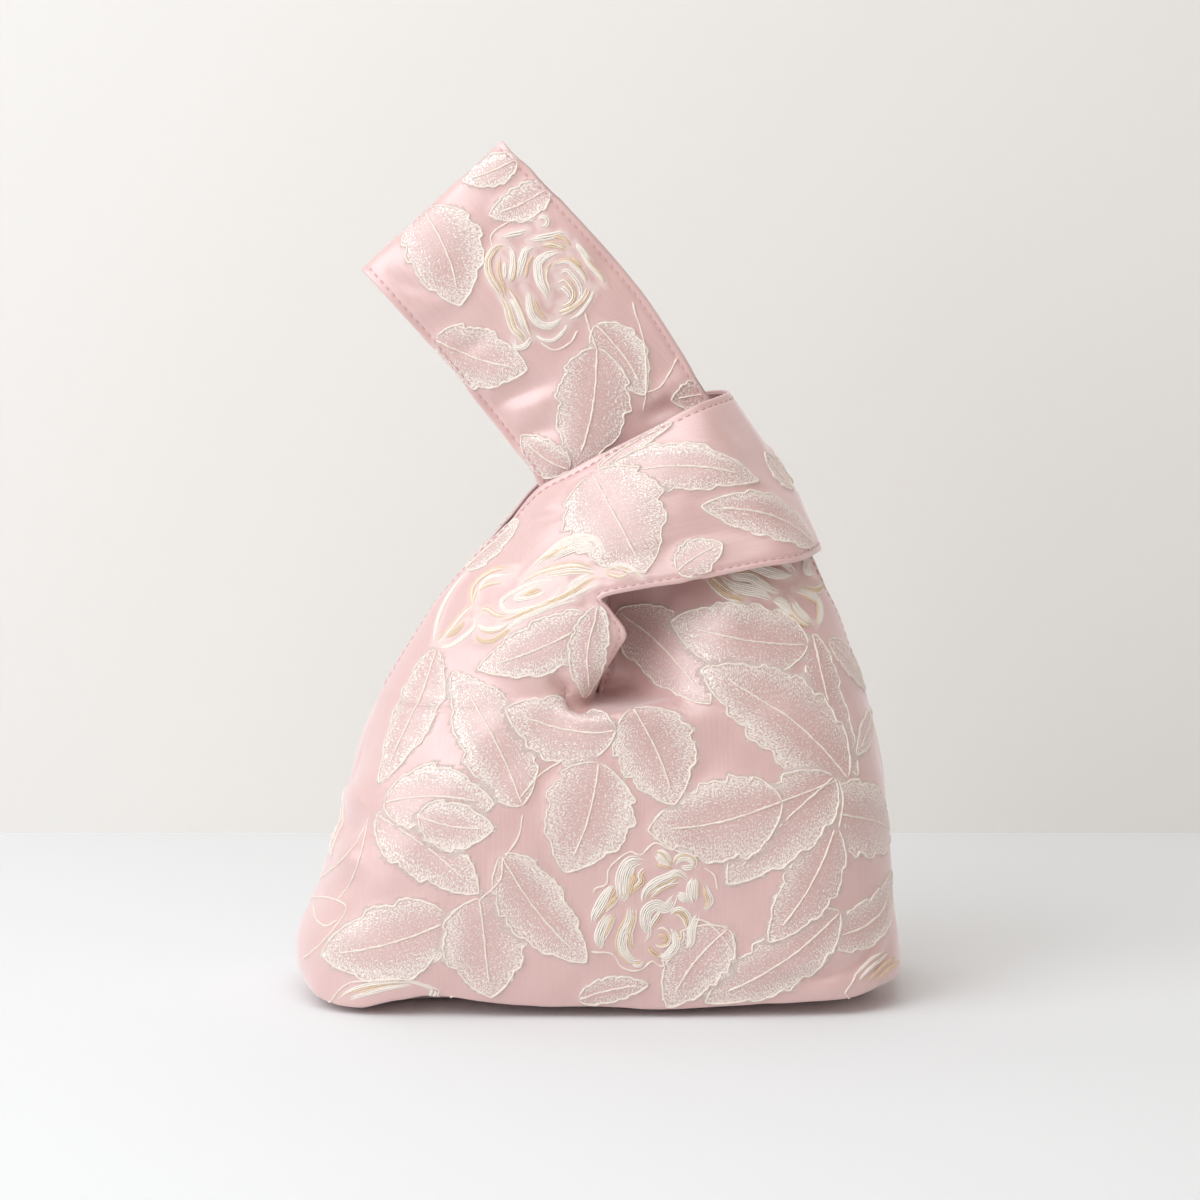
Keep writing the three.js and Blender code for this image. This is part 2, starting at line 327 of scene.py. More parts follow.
# Folds of the satin: on which grid, the pixels that the fold runs through, its half width and its height
# in mm, a hollow below zero.
BODY_PART = np.unique(body_ids)
SHORT_PART = np.unique(short_ids)
LONG_PART = np.unique(long_ids)
NECK_PART = np.concatenate((BODY_PART, SHORT_PART))
FOLDS = [
    (NECK_PART, [(548, 674), (562, 688), (574, 702), (590, 714)], 2.6, -6.5),
    (NECK_PART, [(556, 702), (572, 715), (592, 722), (618, 720), (650, 711), (690, 701)], 2.2, 2.6),
    (BODY_PART, [(650, 728), (700, 752), (770, 765)], 13.0, -1.6),
    (BODY_PART, [(480, 735), (520, 790), (540, 850)], 16.0, -1.0),
    (BODY_PART, [(335, 930), (350, 965), (390, 985)], 7.0, -1.6),
    (BODY_PART, [(300, 900), (345, 915), (385, 900)], 6.0, -1.2),
    (BODY_PART, [(342, 800), (354, 797), (366, 794)], 4.5, 2.1),
    (BODY_PART, [(338, 828), (352, 826), (368, 822)], 4.0, -2.2),
    (BODY_PART, [(334, 862), (348, 857), (362, 850)], 4.5, 2.1),
    (BODY_PART, [(322, 893), (342, 887), (360, 878)], 4.0, -2.0),
    (BODY_PART, [(850, 985), (868, 962), (880, 930)], 3.0, -1.6),
    (BODY_PART, [(872, 985), (884, 962), (892, 935)], 2.4, -1.4),
    (BODY_PART, [(862, 985), (877, 961), (886, 930)], 2.6, 1.0),
    (BODY_PART, [(780, 990), (826, 982), (862, 966)], 4.0, -2.6),
    (LONG_PART, [(385, 268), (408, 284), (432, 290)], 2.9, -1.3),
    (LONG_PART, [(412, 312), (436, 306), (456, 297)], 3.6, 1.0),
    (LONG_PART, [(452, 352), (474, 344), (492, 328)], 3.2, -1.3),
    (LONG_PART, [(480, 385), (510, 372), (545, 352)], 4.6, 1.0),
    (LONG_PART, [(490, 404), (520, 393), (556, 379)], 2.9, -1.7),
    (LONG_PART, [(508, 418), (535, 407), (566, 396)], 3.2, 0.9),
    (LONG_PART, [(516, 440), (540, 430), (570, 424)], 2.9, -1.5),
    (LONG_PART, [(640, 420), (662, 410), (684, 402)], 3.2, -1.5),
    (LONG_PART, [(650, 396), (672, 384), (694, 372)], 3.2, 1.0),
    (SHORT_PART, [(528, 524), (546, 519), (564, 514)], 2.2, -0.8),
    (SHORT_PART, [(530, 512), (548, 508), (566, 503)], 3.0, 0.5),
]
# A hollow deeper than this is a sharp crease, and the others are round. Folds die away at both ends.
CREASE_BELOW = -4.0
CREASE_SHARPNESS = 1.2
FOLD_STEPS = 40
FOLD_END = 0.02


def fold_lift(points):
    """How far the folds push each point of the panel out."""
    pixels = photo_pixel(points)
    lift = np.zeros(len(points))
    for part, stops, width, height in FOLDS:
        line = curve_through(stops, FOLD_STEPS + 1)
        apart = np.linalg.norm(pixels[part][:, None, :] - line[None, :, :], axis=2)
        nearest = apart.argmin(axis=1)
        reach = np.sin(math.pi * np.clip(nearest / FOLD_STEPS, FOLD_END, 1 - FOLD_END)) ** 0.7
        away = apart.min(axis=1) * MM_PER_PIXEL / width
        sharp = height < CREASE_BELOW
        lift[part] += height * reach * np.exp(-CREASE_SHARPNESS * away if sharp else -away * away)
    return lift


# How far the front edge of the base stands off the table, by the place across. This fades out upwards, and
# it grows from a line under the bag to the front.
EDGE_ACROSS = (-112, -104, -94, -84, -74, -63, -50, -30, -5, 14, 40, 72, 90, 102, 112)
EDGE_OFF = (0, 0, 0, 1.6, 5.4, 7.4, 6.2, 4.2, 3.2, 2.4, 2.8, 4.4, 5.6, 7.0, 7.0)
EDGE_TOP = 26.0
EDGE_FROM = 14.0
EDGE_GROWS = 24.0


def edge_off_table(points):
    """Raises the front edge of the base, most at the very edge and not under the middle of the bag."""
    raised = np.interp(points[:, 0], EDGE_ACROSS, EDGE_OFF)
    raised *= np.clip(1 - points[:, 2] / EDGE_TOP, 0, 1)
    forward = np.clip((-points[:, 1] - EDGE_FROM) / EDGE_GROWS, 0, 1)
    return raised * forward * forward * (3 - 2 * forward)


def edge_distance(points, ids):
    """How far each point of a handle's grid lies from the nearer of its two edges."""
    step = np.linalg.norm(np.diff(points[ids], axis=1), axis=2)
    run = np.concatenate((np.zeros((len(ids), 1)), np.cumsum(step, axis=1)), axis=1)
    return np.minimum(run, run[:, -1:] - run)


def panel(side, seed):
    """The middle shape of one panel, front (side 1) or back (side -1): points and facings in mm."""
    points = softened(flat_points)
    normals = facing(points, panel_faces)
    lift = sum(high * swell(points, size, seed + i) for i, (size, high) in enumerate(SWELLS))
    lift += fold_lift(points)
    lift *= np.clip((-points[:, 1] - SEAM) / SWELL_FADE, 0, 1)
    for ids in (short_ids, long_ids):
        dip = (edge_distance(points, ids) - HEM_INSET) / HEM_SOFT
        lift[ids] -= HEM_DIP * np.exp(-dip * dip)
    points = points + lift[:, None] * normals
    points[:, 2] += edge_off_table(points)
    points[:, 1] = np.minimum(points[:, 1], -SEAM)
    points[:, 2] = np.maximum(points[:, 2], 0)
    normals = facing(points, panel_faces)
    flip = np.array((1, side, 1))
    return points * flip, normals * flip


def mesh_piece(name, points_mm, faces, uv=None):
    """A smooth-shaded mesh object in the row frame."""
    mesh = bpy.data.meshes.new(name)
    mesh.from_pydata((points_mm * MM).tolist(), [], faces if isinstance(faces, list) else faces.tolist())
    mesh.polygons.foreach_set("use_smooth", [True] * len(mesh.polygons))
    if uv is not None:
        corners = np.empty(len(mesh.loops), dtype=np.int32)
        mesh.loops.foreach_get("vertex_index", corners)
        layer = mesh.uv_layers.new(name="lay")
        layer.data.foreach_set("uv", (uv[corners] * MM).ravel())
    piece = bpy.data.objects.new(name, mesh)
    bpy.context.scene.collection.objects.link(piece)
    return piece


def closed_cloth(points, normals, faces, loop, top, thick, side):
    """A sheet with thickness: its outer face lies top below the points, and its edge is rounded."""
    outer = points - top * normals
    inner = outer - thick * normals
    along = np.roll(points[loop], -1, axis=0) - np.roll(points[loop], 1, axis=0)
    outward = side * np.cross(along, normals[loop])
    outward /= np.maximum(np.linalg.norm(outward, axis=1, keepdims=True), 1e-9)
    rings = [loop]
    extra = []
    count = len(points)
    for angle in (45, 90, 135):
        turn = math.radians(angle)
        middle = (outer[loop] + inner[loop]) / 2
        extra.append(middle + thick / 2 * (math.cos(turn) * normals[loop] + math.sin(turn) * outward))
        rings.append(2 * count + (len(extra) - 1) * len(loop) + np.arange(len(loop)))
    rings.append(count + loop)
    quads = [faces, count + faces[:, ::-1]]
    for upper, lower in zip(rings, rings[1:]):
        quads.append(np.stack((upper, lower, np.roll(lower, -1), np.roll(upper, -1)), axis=1))
    quads = np.concatenate(quads)
    return np.concatenate((outer, inner, *extra)), quads[:, ::side]


def lay_mm(points):
    """Place on the flat cloth, across and along, in mm."""
    uv = np.zeros((len(points), 2))
    for grid, columns in ((short_grid, slice(0, COLUMNS + 1)), (long_grid, slice(COLUMNS, WIDE))):
        ids = grid[:, columns]
        across = np.linalg.norm(np.diff(points[ids], axis=1), axis=2)
        along = np.linalg.norm(np.diff(points[ids], axis=0), axis=2)
        u = np.concatenate((np.zeros((len(ids), 1)), np.cumsum(across, axis=1)), axis=1)
        u = u - u[:, -1:] if columns.start == 0 else u
        uv[ids, 0] = u
        uv[ids, 1] = np.concatenate((np.zeros((1, ids.shape[1])), np.cumsum(along, axis=0)))
    return uv


def colour(code):
    """A sRGB hex colour as linear red, green, blue and alpha."""
    parts = [int(code[i:i + 2], 16) / 255 for i in (1, 3, 5)]
    return (*(p / 12.92 if p <= 0.04045 else ((p + 0.055) / 1.055) ** 2.4 for p in parts), 1.0)


def add(material, kind, inputs=None, **settings):
    """Adds a node. An input is a value, or the output of another node."""
    made = material.node_tree.nodes.new(kind)
    for name, value in settings.items():
        setattr(made, name, value)
    for socket, value in (inputs or {}).items():
        if isinstance(value, bpy.types.NodeSocket):
            material.node_tree.links.new(value, made.inputs[socket])
        else:
            made.inputs[socket].default_value = value
    return made


def new_material(name):
    material = bpy.data.materials.new(name)
    material.use_nodes = True
    material.node_tree.nodes.clear()
    return material


def finish_material(material, shader):
    output = add(material, "ShaderNodeOutputMaterial")
    material.node_tree.links.new(shader.outputs[0], output.inputs["Surface"])


PANELS = {"front": (1, 11), "back": (-1, 47)}
panel_shapes = {name: panel(side, seed) for name, (side, seed) in PANELS.items()}
panel_uv = lay_mm(flat_points)


# The needlework's layout. Leaves with a cord round them and along the rib, roses of padded satin stitch,
# and single cords for stems, worked on the satin before it was cut. The back repeats the front's layout.
COLUMN_ROOM = 1.6


def cloth_at(points, normals, grid, spots):
    """Place and facing of spots given as column and row of a grid, between its points."""
    column = np.clip(spots[:, 0], 0, WIDE - 1.001)
    line = np.clip(spots[:, 1], 0, len(grid) - 1.001)
    c, r = column.astype(int), line.astype(int)
    fc, fr = (column - c)[:, None], (line - r)[:, None]
    low_left, low_right = grid[r, c], grid[r, c + 1]
    high_left, high_right = grid[r + 1, c], grid[r + 1, c + 1]

    def between(values):
        low = mix(values[low_left], values[low_right], fc)
        high = mix(values[high_left], values[high_right], fc)
        return mix(low, high, fr)

    square = between(normals)
    across = mix(points[low_right] - points[low_left], points[high_right] - points[high_left], fr)
    along = mix(points[high_left] - points[low_left], points[high_right] - points[low_right], fc)
    return between(points), square / np.linalg.norm(square, axis=1, keepdims=True), across, along


def keep_on(half, spots):
    """Keeps spots on their own handle above the neck, and inside the panel's edges."""
    first = np.zeros(len(spots))
    last = np.full(len(spots), WIDE - 1.0)
    above = spots[:, 1] > BODY_ROWS - 1
    if half == "short":
        last[above] = COLUMNS
    else:
        first[above] = COLUMNS
    column = np.clip(spots[:, 0], first + 0.01, last - 0.01)
    line = np.clip(spots[:, 1], 0.01, len(GRIDS[half]) - 1.01)
    inside = (spots[:, 0] > first + COLUMN_ROOM) & (spots[:, 0] < last - COLUMN_ROOM)
    inside &= (spots[:, 1] > 1) & (spots[:, 1] < len(GRIDS[half]) - 2)
    return np.stack((column, line), axis=1), inside


front_points, front_normals = panel_shapes["front"]
front_pixels = photo_pixel(front_points)
front_seen = front_normals @ camera_ahead < -0.05
TURNED_AWAY = 1000
OTHER_HANDLE = 9999
SPOT_ROUNDS = 3
SPOT_STEP = 0.7
WALK_STEPS = 20
WALK_LONGEST = 6


def spot_at(pixel, half):
    """The spot of a half, as column and row, that shows at a pixel of the photograph."""
    grid = GRIDS[half]
    pixel = np.array(pixel, dtype=float)
    miss = np.linalg.norm(front_pixels[grid] - pixel, axis=2)
    miss = np.where(front_seen[grid], miss, miss + TURNED_AWAY)
    if half == "short":
        miss[BODY_ROWS:, COLUMNS + 1:] = OTHER_HANDLE
    else:
        miss[BODY_ROWS:, :COLUMNS] = OTHER_HANDLE
    r, c = np.unravel_index(np.argmin(miss), miss.shape)
    spot = np.array((float(c), float(r)))
    for _ in range(SPOT_ROUNDS):
        c = int(np.clip(spot[0], 0, WIDE - 2))
        r = int(np.clip(spot[1], 0, len(grid) - 2))
        low, high = front_pixels[grid[r, c:c + 2]], front_pixels[grid[r + 1, c:c + 2]]
        fc, fr = spot[0] - c, spot[1] - r
        here = mix(mix(low[0], low[1], fc), mix(high[0], high[1], fc), fr)
        across = mix(low[1] - low[0], high[1] - high[0], fr)
        along = mix(high[0] - low[0], high[1] - low[1], fc)
        slopes = np.stack((across, along), axis=1)
        step = np.linalg.lstsq(slopes, pixel - here, rcond=1e-3)[0]
        spot = spot + np.clip(step, -SPOT_STEP, SPOT_STEP)
    return spot


def walk(half, start, along, beside):
    """Spots reached from a start by going over the cloth, along and beside a heading, in mm."""
    grid = GRIDS[half]
    heading = start["axis"] * along[:, None] + start["side"] * beside[:, None]
    spots = np.repeat(start["spot"][None, :], len(along), axis=0)
    for _ in range(WALK_STEPS):
        spots, _inside = keep_on(half, spots)
        _place, square, across, up = cloth_at(front_points, front_normals, grid, spots)
        length = np.linalg.norm(heading, axis=1, keepdims=True)
        heading = heading - np.sum(heading * square, axis=1, keepdims=True) * square
        heading *= length / np.maximum(np.linalg.norm(heading, axis=1, keepdims=True), 1e-9)
        aa = np.sum(across * across, axis=1)
        au = np.sum(across * up, axis=1)
        uu = np.sum(up * up, axis=1)
        ah = np.sum(across * heading, axis=1)
        uh = np.sum(up * heading, axis=1)
        det = aa * uu - au * au + 1e-6
        step = np.stack((ah * uu - uh * au, uh * aa - ah * au), axis=1) / det[:, None] / WALK_STEPS
        spots = spots + np.clip(step, -WALK_LONGEST, WALK_LONGEST)
    return spots


def compass(half, spot, toward):
    """A start for walks: a spot, with the heading from it towards a place on the cloth."""
    place, square, _across, _up = cloth_at(front_points, front_normals, GRIDS[half], spot[None, :])
    axis = toward - place[0]
    axis = axis - (axis @ square[0]) * square[0]
    axis = axis / np.linalg.norm(axis)
    return {"spot": spot, "axis": axis, "side": np.cross(square[0], axis)}


# Base, tip and width of each leaf in pixels, how much of its fill is worked, and how far its rib bends.
LEAVES = {
    "long": [
        ((421, 205), (461, 306), 75, 0.9, 0.06),
        ((436, 340), (526, 369), 60, 0.9, -0.05),
        ((552, 186), (488, 216), 34, 1.0, 0.05),
        ((516, 158), (464, 181), 30, 1.0, 0.05),
        ((597, 326), (644, 394), 46, 1.0, 0.06),
        ((597, 350), (575, 470), 70, 0.8, 0.05),
        ((714, 392), (668, 400), 30, 0.9, 0.0),
        ((568, 470), (522, 436), 36, 0.9, 0.08),
        ((835, 636), (866, 694), 30, 0.9, 0.0),
        ((814, 639), (856, 771), 40, 0.8, -0.05),
        ((618, 612), (710, 704), 64, 0.7, 0.05),
        ((811, 633), (667, 624), 72, 0.9, 0.07),
        ((853, 771), (706, 673), 80, 0.9, -0.05),
        ((871, 719), (859, 748), 24, 0.9, 0.0),
        ((840, 814), (898, 826), 72, 0.9, 0.0),
        ((841, 950), (894, 862), 44, 0.9, -0.12),
        ((842, 918), (706, 1001), 58, 0.9, 0.04),
        ((837, 829), (770, 940), 54, 0.8, 0.05),
        ((837, 780), (730, 881), 70, 0.9, -0.04),
        ((780, 802), (650, 830), 78, 0.9, 0.05),
        ((727, 930), (668, 1006), 58, 0.95, -0.06),
        ((633, 710), (674, 803), 76, 0.9, 0.05),
    ],
    "short": [
        ((470, 572), (520, 520), 38, 1.0, 0.05),
        ((600, 468), (672, 424), 20, 0.9, 0.05),
        ((600, 470), (760, 482), 48, 0.9, 0.06),
        ((592, 472), (644, 571), 98, 0.9, 0.0),
        ((678, 571), (722, 545), 36, 0.9, 0.05),
        ((814, 530), (716, 511), 45, 0.9, -0.05),
        ((790, 490), (764, 453), 32, 0.9, 0.0),
        ((352, 760), (332, 868), 36, 0.6, 0.05),
        ((592, 618), (479, 669), 50, 0.9, 0.05),
        ((433, 652), (381, 780), 52, 0.9, 0.05),
        ((517, 802), (451, 670), 68, 0.9, -0.05),
        ((375, 817), (476, 891), 62, 0.9, 0.05),
        ((384, 802), (491, 805), 60, 0.9, 0.06),
        ((420, 817), (493, 828), 46, 1.0, -0.06),
        ((445, 921), (320, 955), 74, 0.9, 0.05),
        ((480, 900), (491, 996), 80, 0.9, 0.0),
        ((503, 857), (586, 961), 60, 0.9, -0.05),
        ((580, 1000), (647, 984), 26, 0.9, 0.05),
        ((607, 612), (589, 702), 36, 1.0, -0.1),
        ((615, 734), (508, 710), 66, 0.9, 0.06),
        ((599, 765), (566, 871), 84, 0.9, 0.05),
    ],
}
# The strokes of the four roses, a bud and the gathers at the base: the pixels that each runs through, its
# drawn width in pixels and whether its floss is beige. The beige strokes are partly beige thread and partly
# painted shade along the shaded side of the ivory petals.
ROSE_STROKES = {
    "long": [
        ([(507, 246), (497, 248), (489, 258), (488, 268), (491, 278), (499, 291), (503, 302)], 5, False),
        ([(507, 246), (512, 253), (513, 263), (511, 274), (509, 283)], 3.5, False),
        ([(500, 256), (499, 265), (500, 276), (504, 287), (507, 297)], 2.5, True),
        ([(504, 261), (505, 271), (504, 280)], 2.5, False),
        ([(514, 256), (515, 267), (513, 278), (509, 285)], 1.4, True),
        ([(500, 296), (507, 305), (510, 316), (514, 328), (522, 336), (526, 344)], 6, False),
        ([(509, 297), (516, 307), (521, 319), (526, 332)], 3.5, False),
        ([(507, 287), (514, 297), (522, 313), (529, 332), (533, 337)], 1.4, True),
        ([(514, 339), (516, 347), (525, 346), (533, 336)], 3.5, False),
        ([(535, 246), (526, 250), (523, 258), (520, 269), (518, 278)], 5, False),
        ([(534, 255), (528, 264), (526, 274), (525, 280)], 1.4, True),
        ([(529, 240), (540, 238), (551, 236), (560, 234), (566, 235)], 4.5, False),
        ([(540, 245), (551, 244), (561, 247), (568, 250)], 4, False),
        ([(549, 236), (562, 238), (572, 246)], 1.4, True),
        ([(560, 252), (549, 255), (539, 262), (538, 271), (540, 282), (545, 292), (549, 304)], 6, False),
        ([(553, 261), (547, 270), (546, 280), (549, 288), (550, 295)], 1.4, True),
        ([(551, 269), (559, 262), (568, 261), (577, 268), (585, 278), (588, 287)], 3.6, False),
        ([(570, 255), (577, 262), (584, 267)], 2, True),
        ([(557, 276), (566, 270), (574, 277), (580, 287), (580, 297), (574, 304)], 3, False),
        ([(557, 283), (564, 279), (571, 285), (574, 293), (572, 301), (564, 306), (558, 303)], 3, False),
        ([(559, 287), (565, 289), (570, 296), (566, 299)], 3, False),
        ([(562, 284), (569, 291), (572, 297)], 1.4, True),
        ([(588, 287), (584, 297), (576, 305), (564, 311), (557, 312)], 3.5, False),
        ([(590, 287), (585, 298), (573, 309), (559, 317)], 1.6, True),
        ([(523, 287), (528, 295), (529, 305), (532, 316), (540, 324), (550, 326), (560, 321), (563, 317)],
         5, False),
        ([(533, 298), (537, 309), (543, 316), (550, 320)], 2.4, True),
        ([(535, 335), (544, 340), (554, 340), (564, 331), (568, 323)], 2, False),
        ([(568, 321), (579, 314), (589, 301), (596, 287)], 1.8, False),
        ([(581, 252), (590, 265), (600, 276), (604, 284)], 3.5, False),
        ([(575, 243), (583, 252), (590, 261)], 3.5, False),
        ([(500, 238), (510, 235), (520, 233), (528, 230)], 3, False),
        ([(538, 222), (542, 217), (548, 220), (546, 226), (540, 227)], 3, False),
        ([(645, 861), (631, 863), (624, 876), (623, 892), (620, 901)], 11, False),
        ([(636, 870), (631, 884), (628, 897)], 6, True),
        ([(616, 882), (607, 895), (602, 904), (595, 916), (593, 923)], 8, False),
        ([(611, 911), (603, 925), (599, 937), (600, 945), (596, 949)], 7, False),
        ([(654, 852), (661, 855), (667, 862), (673, 866)], 9, False),
        ([(674, 865), (679, 858), (688, 857), (694, 862), (692, 869)], 6, False),
        ([(688, 880), (678, 874), (669, 878), (656, 884), (647, 892), (643, 904)], 8, False),
        ([(695, 877), (693, 888), (694, 904)], 9, False),
        ([(704, 884), (707, 893), (710, 902), (702, 911)], 5, True),
        ([(675, 894), (672, 901), (666, 908), (656, 905), (647, 911), (645, 922), (647, 933), (641, 941)],
         8, False),
        ([(676, 895), (683, 897), (688, 904)], 6, False),
        ([(671, 916), (678, 911), (686, 916), (689, 928)], 7, False),
        ([(698, 914), (692, 927), (691, 941), (686, 949)], 6, False),
        ([(671, 927), (675, 937), (675, 946), (666, 956), (656, 955)], 6, False),
        ([(630, 906), (629, 920), (623, 933), (621, 945), (625, 954), (633, 961), (643, 960)], 8, False),
        ([(646, 867), (640, 875), (642, 881), (634, 889), (626, 897)], 4, True),
        ([(619, 895), (614, 901), (608, 906), (603, 913)], 5, True),
        ([(617, 912), (612, 921), (608, 930), (602, 942)], 3.5, True),
        ([(635, 908), (634, 920), (630, 932), (631, 942), (634, 950)], 4, True),
        ([(680, 883), (667, 886), (656, 893), (648, 901)], 3, True),
        ([(662, 908), (658, 916), (653, 923), (650, 929)], 4.5, False),
        ([(681, 927), (683, 936), (679, 944)], 3, True),
        ([(648, 945), (651, 951), (657, 955), (664, 957)], 3, False),
        ([(655, 931), (662, 928), (668, 932), (670, 939), (666, 945), (658, 946), (654, 940)], 2, False),
        ([(631, 962), (638, 965), (645, 960)], 4, False),
        ([(656, 866), (665, 865), (672, 868)], 3.5, True),
        ([(681, 865), (687, 868), (695, 865)], 4, False),
        ([(656, 938), (662, 935), (666, 940), (661, 942)], 2.2, True),
        ([(728, 567), (736, 576), (749, 577), (763, 585), (779, 592)], 8, False),
        ([(742, 565), (757, 568), (774, 574), (792, 577)], 8, False),
        ([(747, 560), (765, 558), (776, 556), (784, 563), (795, 574)], 7, False),
        ([(722, 578), (735, 587), (757, 592), (771, 599)], 8, False),
        ([(706, 575), (719, 587), (730, 595), (747, 602)], 8, True),
        ([(798, 549), (805, 560), (805, 570), (813, 575)], 7, False),
        ([(808, 549), (815, 558), (820, 574), (821, 587), (813, 591), (801, 586)], 5, True),
        ([(793, 590), (805, 594), (817, 602), (819, 616), (816, 626)], 7, False),
        ([(791, 599), (795, 612), (805, 621), (812, 624)], 11, False),
        ([(772, 599), (781, 603), (786, 610), (794, 618)], 8, False),
        ([(852, 979), (861, 969), (871, 959), (882, 951)], 1.8, False),
        ([(857, 982), (867, 971), (878, 961), (889, 953)], 2.2, False),
        ([(865, 983), (875, 973), (886, 963), (895, 957)], 2.0, True),
        ([(874, 982), (884, 973), (893, 965), (899, 960)], 1.8, False),
    ],
    "short": [
        ([(472, 568), (457, 585), (445, 604), (438, 623), (434, 644)], 3, False),
        ([(517, 567), (493, 571), (475, 585), (472, 601), (478, 609)], 4, True),
        ([(513, 575), (491, 578), (481, 588), (479, 600)], 3, False),
        ([(504, 582), (489, 585), (478, 592), (473, 604)], 3, True),
        ([(521, 580), (542, 560), (563, 543), (579, 538), (596, 540), (603, 552), (598, 561)], 5, False),
        ([(548, 561), (562, 552), (578, 546), (590, 549), (592, 558)], 8, False),
        ([(538, 563), (556, 552), (576, 543)], 4, True),
        ([(598, 571), (577, 566), (560, 568), (539, 574), (521, 584)], 5, False),
        ([(601, 576), (580, 572), (561, 574), (543, 577)], 3, True),
        ([(565, 581), (545, 581), (525, 587), (507, 597), (502, 604), (509, 612), (528, 609), (546, 604),
          (559, 592), (565, 584)], 3, False),
        ([(553, 584), (537, 587), (520, 595), (516, 599), (525, 599), (542, 594), (553, 585)], 3, False),
        ([(546, 588), (534, 591), (525, 596), (536, 594), (546, 589)], 2, True),
        ([(603, 574), (584, 584), (563, 597), (546, 604), (521, 615), (500, 623)], 4, True),
        ([(590, 575), (576, 584), (566, 592)], 5, False),
        ([(579, 598), (556, 604), (528, 616), (514, 625), (504, 632)], 4, False),
        ([(598, 584), (575, 595), (550, 607)], 2, False),
        ([(478, 615), (486, 609), (497, 615), (509, 616)], 3, True),
        ([(476, 623), (486, 630), (500, 629), (511, 622)], 4, False),
        ([(476, 632), (479, 640), (493, 641), (506, 633), (514, 626)], 3, True),
        ([(436, 646), (451, 629), (464, 613), (475, 604)], 4, True),
        ([(436, 647), (451, 646), (466, 636), (475, 627), (476, 616)], 3, False),
        ([(446, 639), (458, 630), (468, 620)], 4, True),
        ([(603, 571), (619, 566), (633, 570), (643, 578)], 4, False),
        ([(604, 573), (619, 577), (632, 573)], 3, True),
        ([(336, 1000), (347, 993), (362, 987), (384, 983), (406, 982)], 3.6, False),
        ([(347, 1000), (364, 994), (388, 988), (412, 985)], 3.4, False),
        ([(352, 996), (370, 990), (392, 985)], 1.6, True),
        ([(384, 983), (410, 982), (430, 988), (452, 995)], 1.8, False),
    ],
}
# Stems, each as the pixels that its cord passes.
STEMS = {
    "long": [
        [(494, 249), (491, 236), (507, 223), (525, 220), (536, 222)],
        [(632, 301), (644, 344), (646, 390), (643, 412)],
        [(678, 357), (662, 385), (646, 393)],
        [(540, 342), (552, 350), (562, 348), (572, 341), (578, 330)],
        [(597, 350), (590, 330), (585, 312)],
        [(780, 802), (812, 790), (837, 780)],
        [(837, 780), (842, 800), (838, 829)],
        [(593, 894), (596, 888), (607, 884), (609, 869), (621, 857), (631, 852), (641, 855), (655, 843),
         (672, 850), (678, 846), (697, 850)],
        [(703, 867), (714, 875), (718, 890)],
        [(590, 952), (612, 954), (621, 966), (635, 971), (645, 967), (652, 961), (662, 966), (672, 956)],
        [(692, 919), (707, 922), (723, 937), (731, 950), (737, 961)],
        [(844, 994), (853, 981), (859, 970), (871, 959)],
    ],
    "short": [
        [(519, 799), (540, 775), (565, 759)],
        [(523, 814), (518, 838), (505, 857)],
        [(480, 900), (500, 880), (503, 857)],
        [(329, 1004), (340, 990), (353, 982), (372, 981), (399, 979), (418, 982), (434, 988), (456, 997)],
        [(369, 815), (362, 850), (352, 880), (338, 900)],
        [(320, 879), (340, 862), (356, 843), (366, 824)],
        [(307, 897), (330, 898), (346, 906), (341, 920), (322, 943), (303, 959)],
        [(313, 905), (317, 920), (327, 926), (338, 920)],
    ],
}
# A leaf runs a little past its two ends. Its fill is thickest at the rim and at the tip, and one side is
# thinner. The stitches slant towards the tip, and each leaf's speckle is set far from the next one's.
LEAF_STEPS = 96
LEAF_ACROSS = 61
LEAF_PAST_ENDS = 1.03
RIB_SHARE = 0.86
FILL_LEAST = 0.5
THIN_SIDE = 0.8
TIP_FILL = 0.8
STITCH_SLANT = 0.6
SPECKLE_APART = 37.0
RIM_CORD = 0.78
RIB_CORD = 0.75
STEM_CORD = 0.72
ON_TOP = 10000


def smooth_step(low, high, value):
    t = np.clip((value - low) / (high - low), 0, 1)
    return t * t * (3 - 2 * t)


def leaf_form(length, width, bend, seed):
    """A leaf's rib and its two toothed half widths, in mm, from the base (0) to the tip (1)."""
    draw = np.random.default_rng(seed)
    share = np.linspace(0, 1, LEAF_STEPS)
    smooth = share ** 0.6 * (1 - share) ** 0.85 / 0.37
    halves = []
    for _ in range(2):
        lobes = draw.integers(3, 6)
        stops = (np.arange(1, lobes) + draw.uniform(-0.22, 0.22, lobes - 1)) / lobes
        lobe = np.interp(share, (0, *stops, 1), np.arange(lobes + 1)) % 1
        tooth = lobe ** 0.7 * (1 - smooth_step(0.82, 1.0, lobe))
        ripple = 0.02 * np.sin(2 * math.pi * (draw.uniform(9, 13) * share + draw.uniform()))
        halves.append(width / 2 * smooth * (0.9 + 0.2 * tooth + ripple))
    rib = bend * length * np.sin(math.pi * share)
    return share, rib, halves


leaf_fill = np.zeros(len(flat_points))
leaf_place = np.zeros((len(flat_points), 3))
worked_by = np.full(len(flat_points), -1)
cords = []
motif = 0


def nearest_points(half, spots):
    """Numbers of the cloth's points that lie nearest to spots."""
    spots, _inside = keep_on(half, spots)
    rounded = np.rint(spots).astype(int)
    return GRIDS[half][rounded[:, 1], rounded[:, 0]]


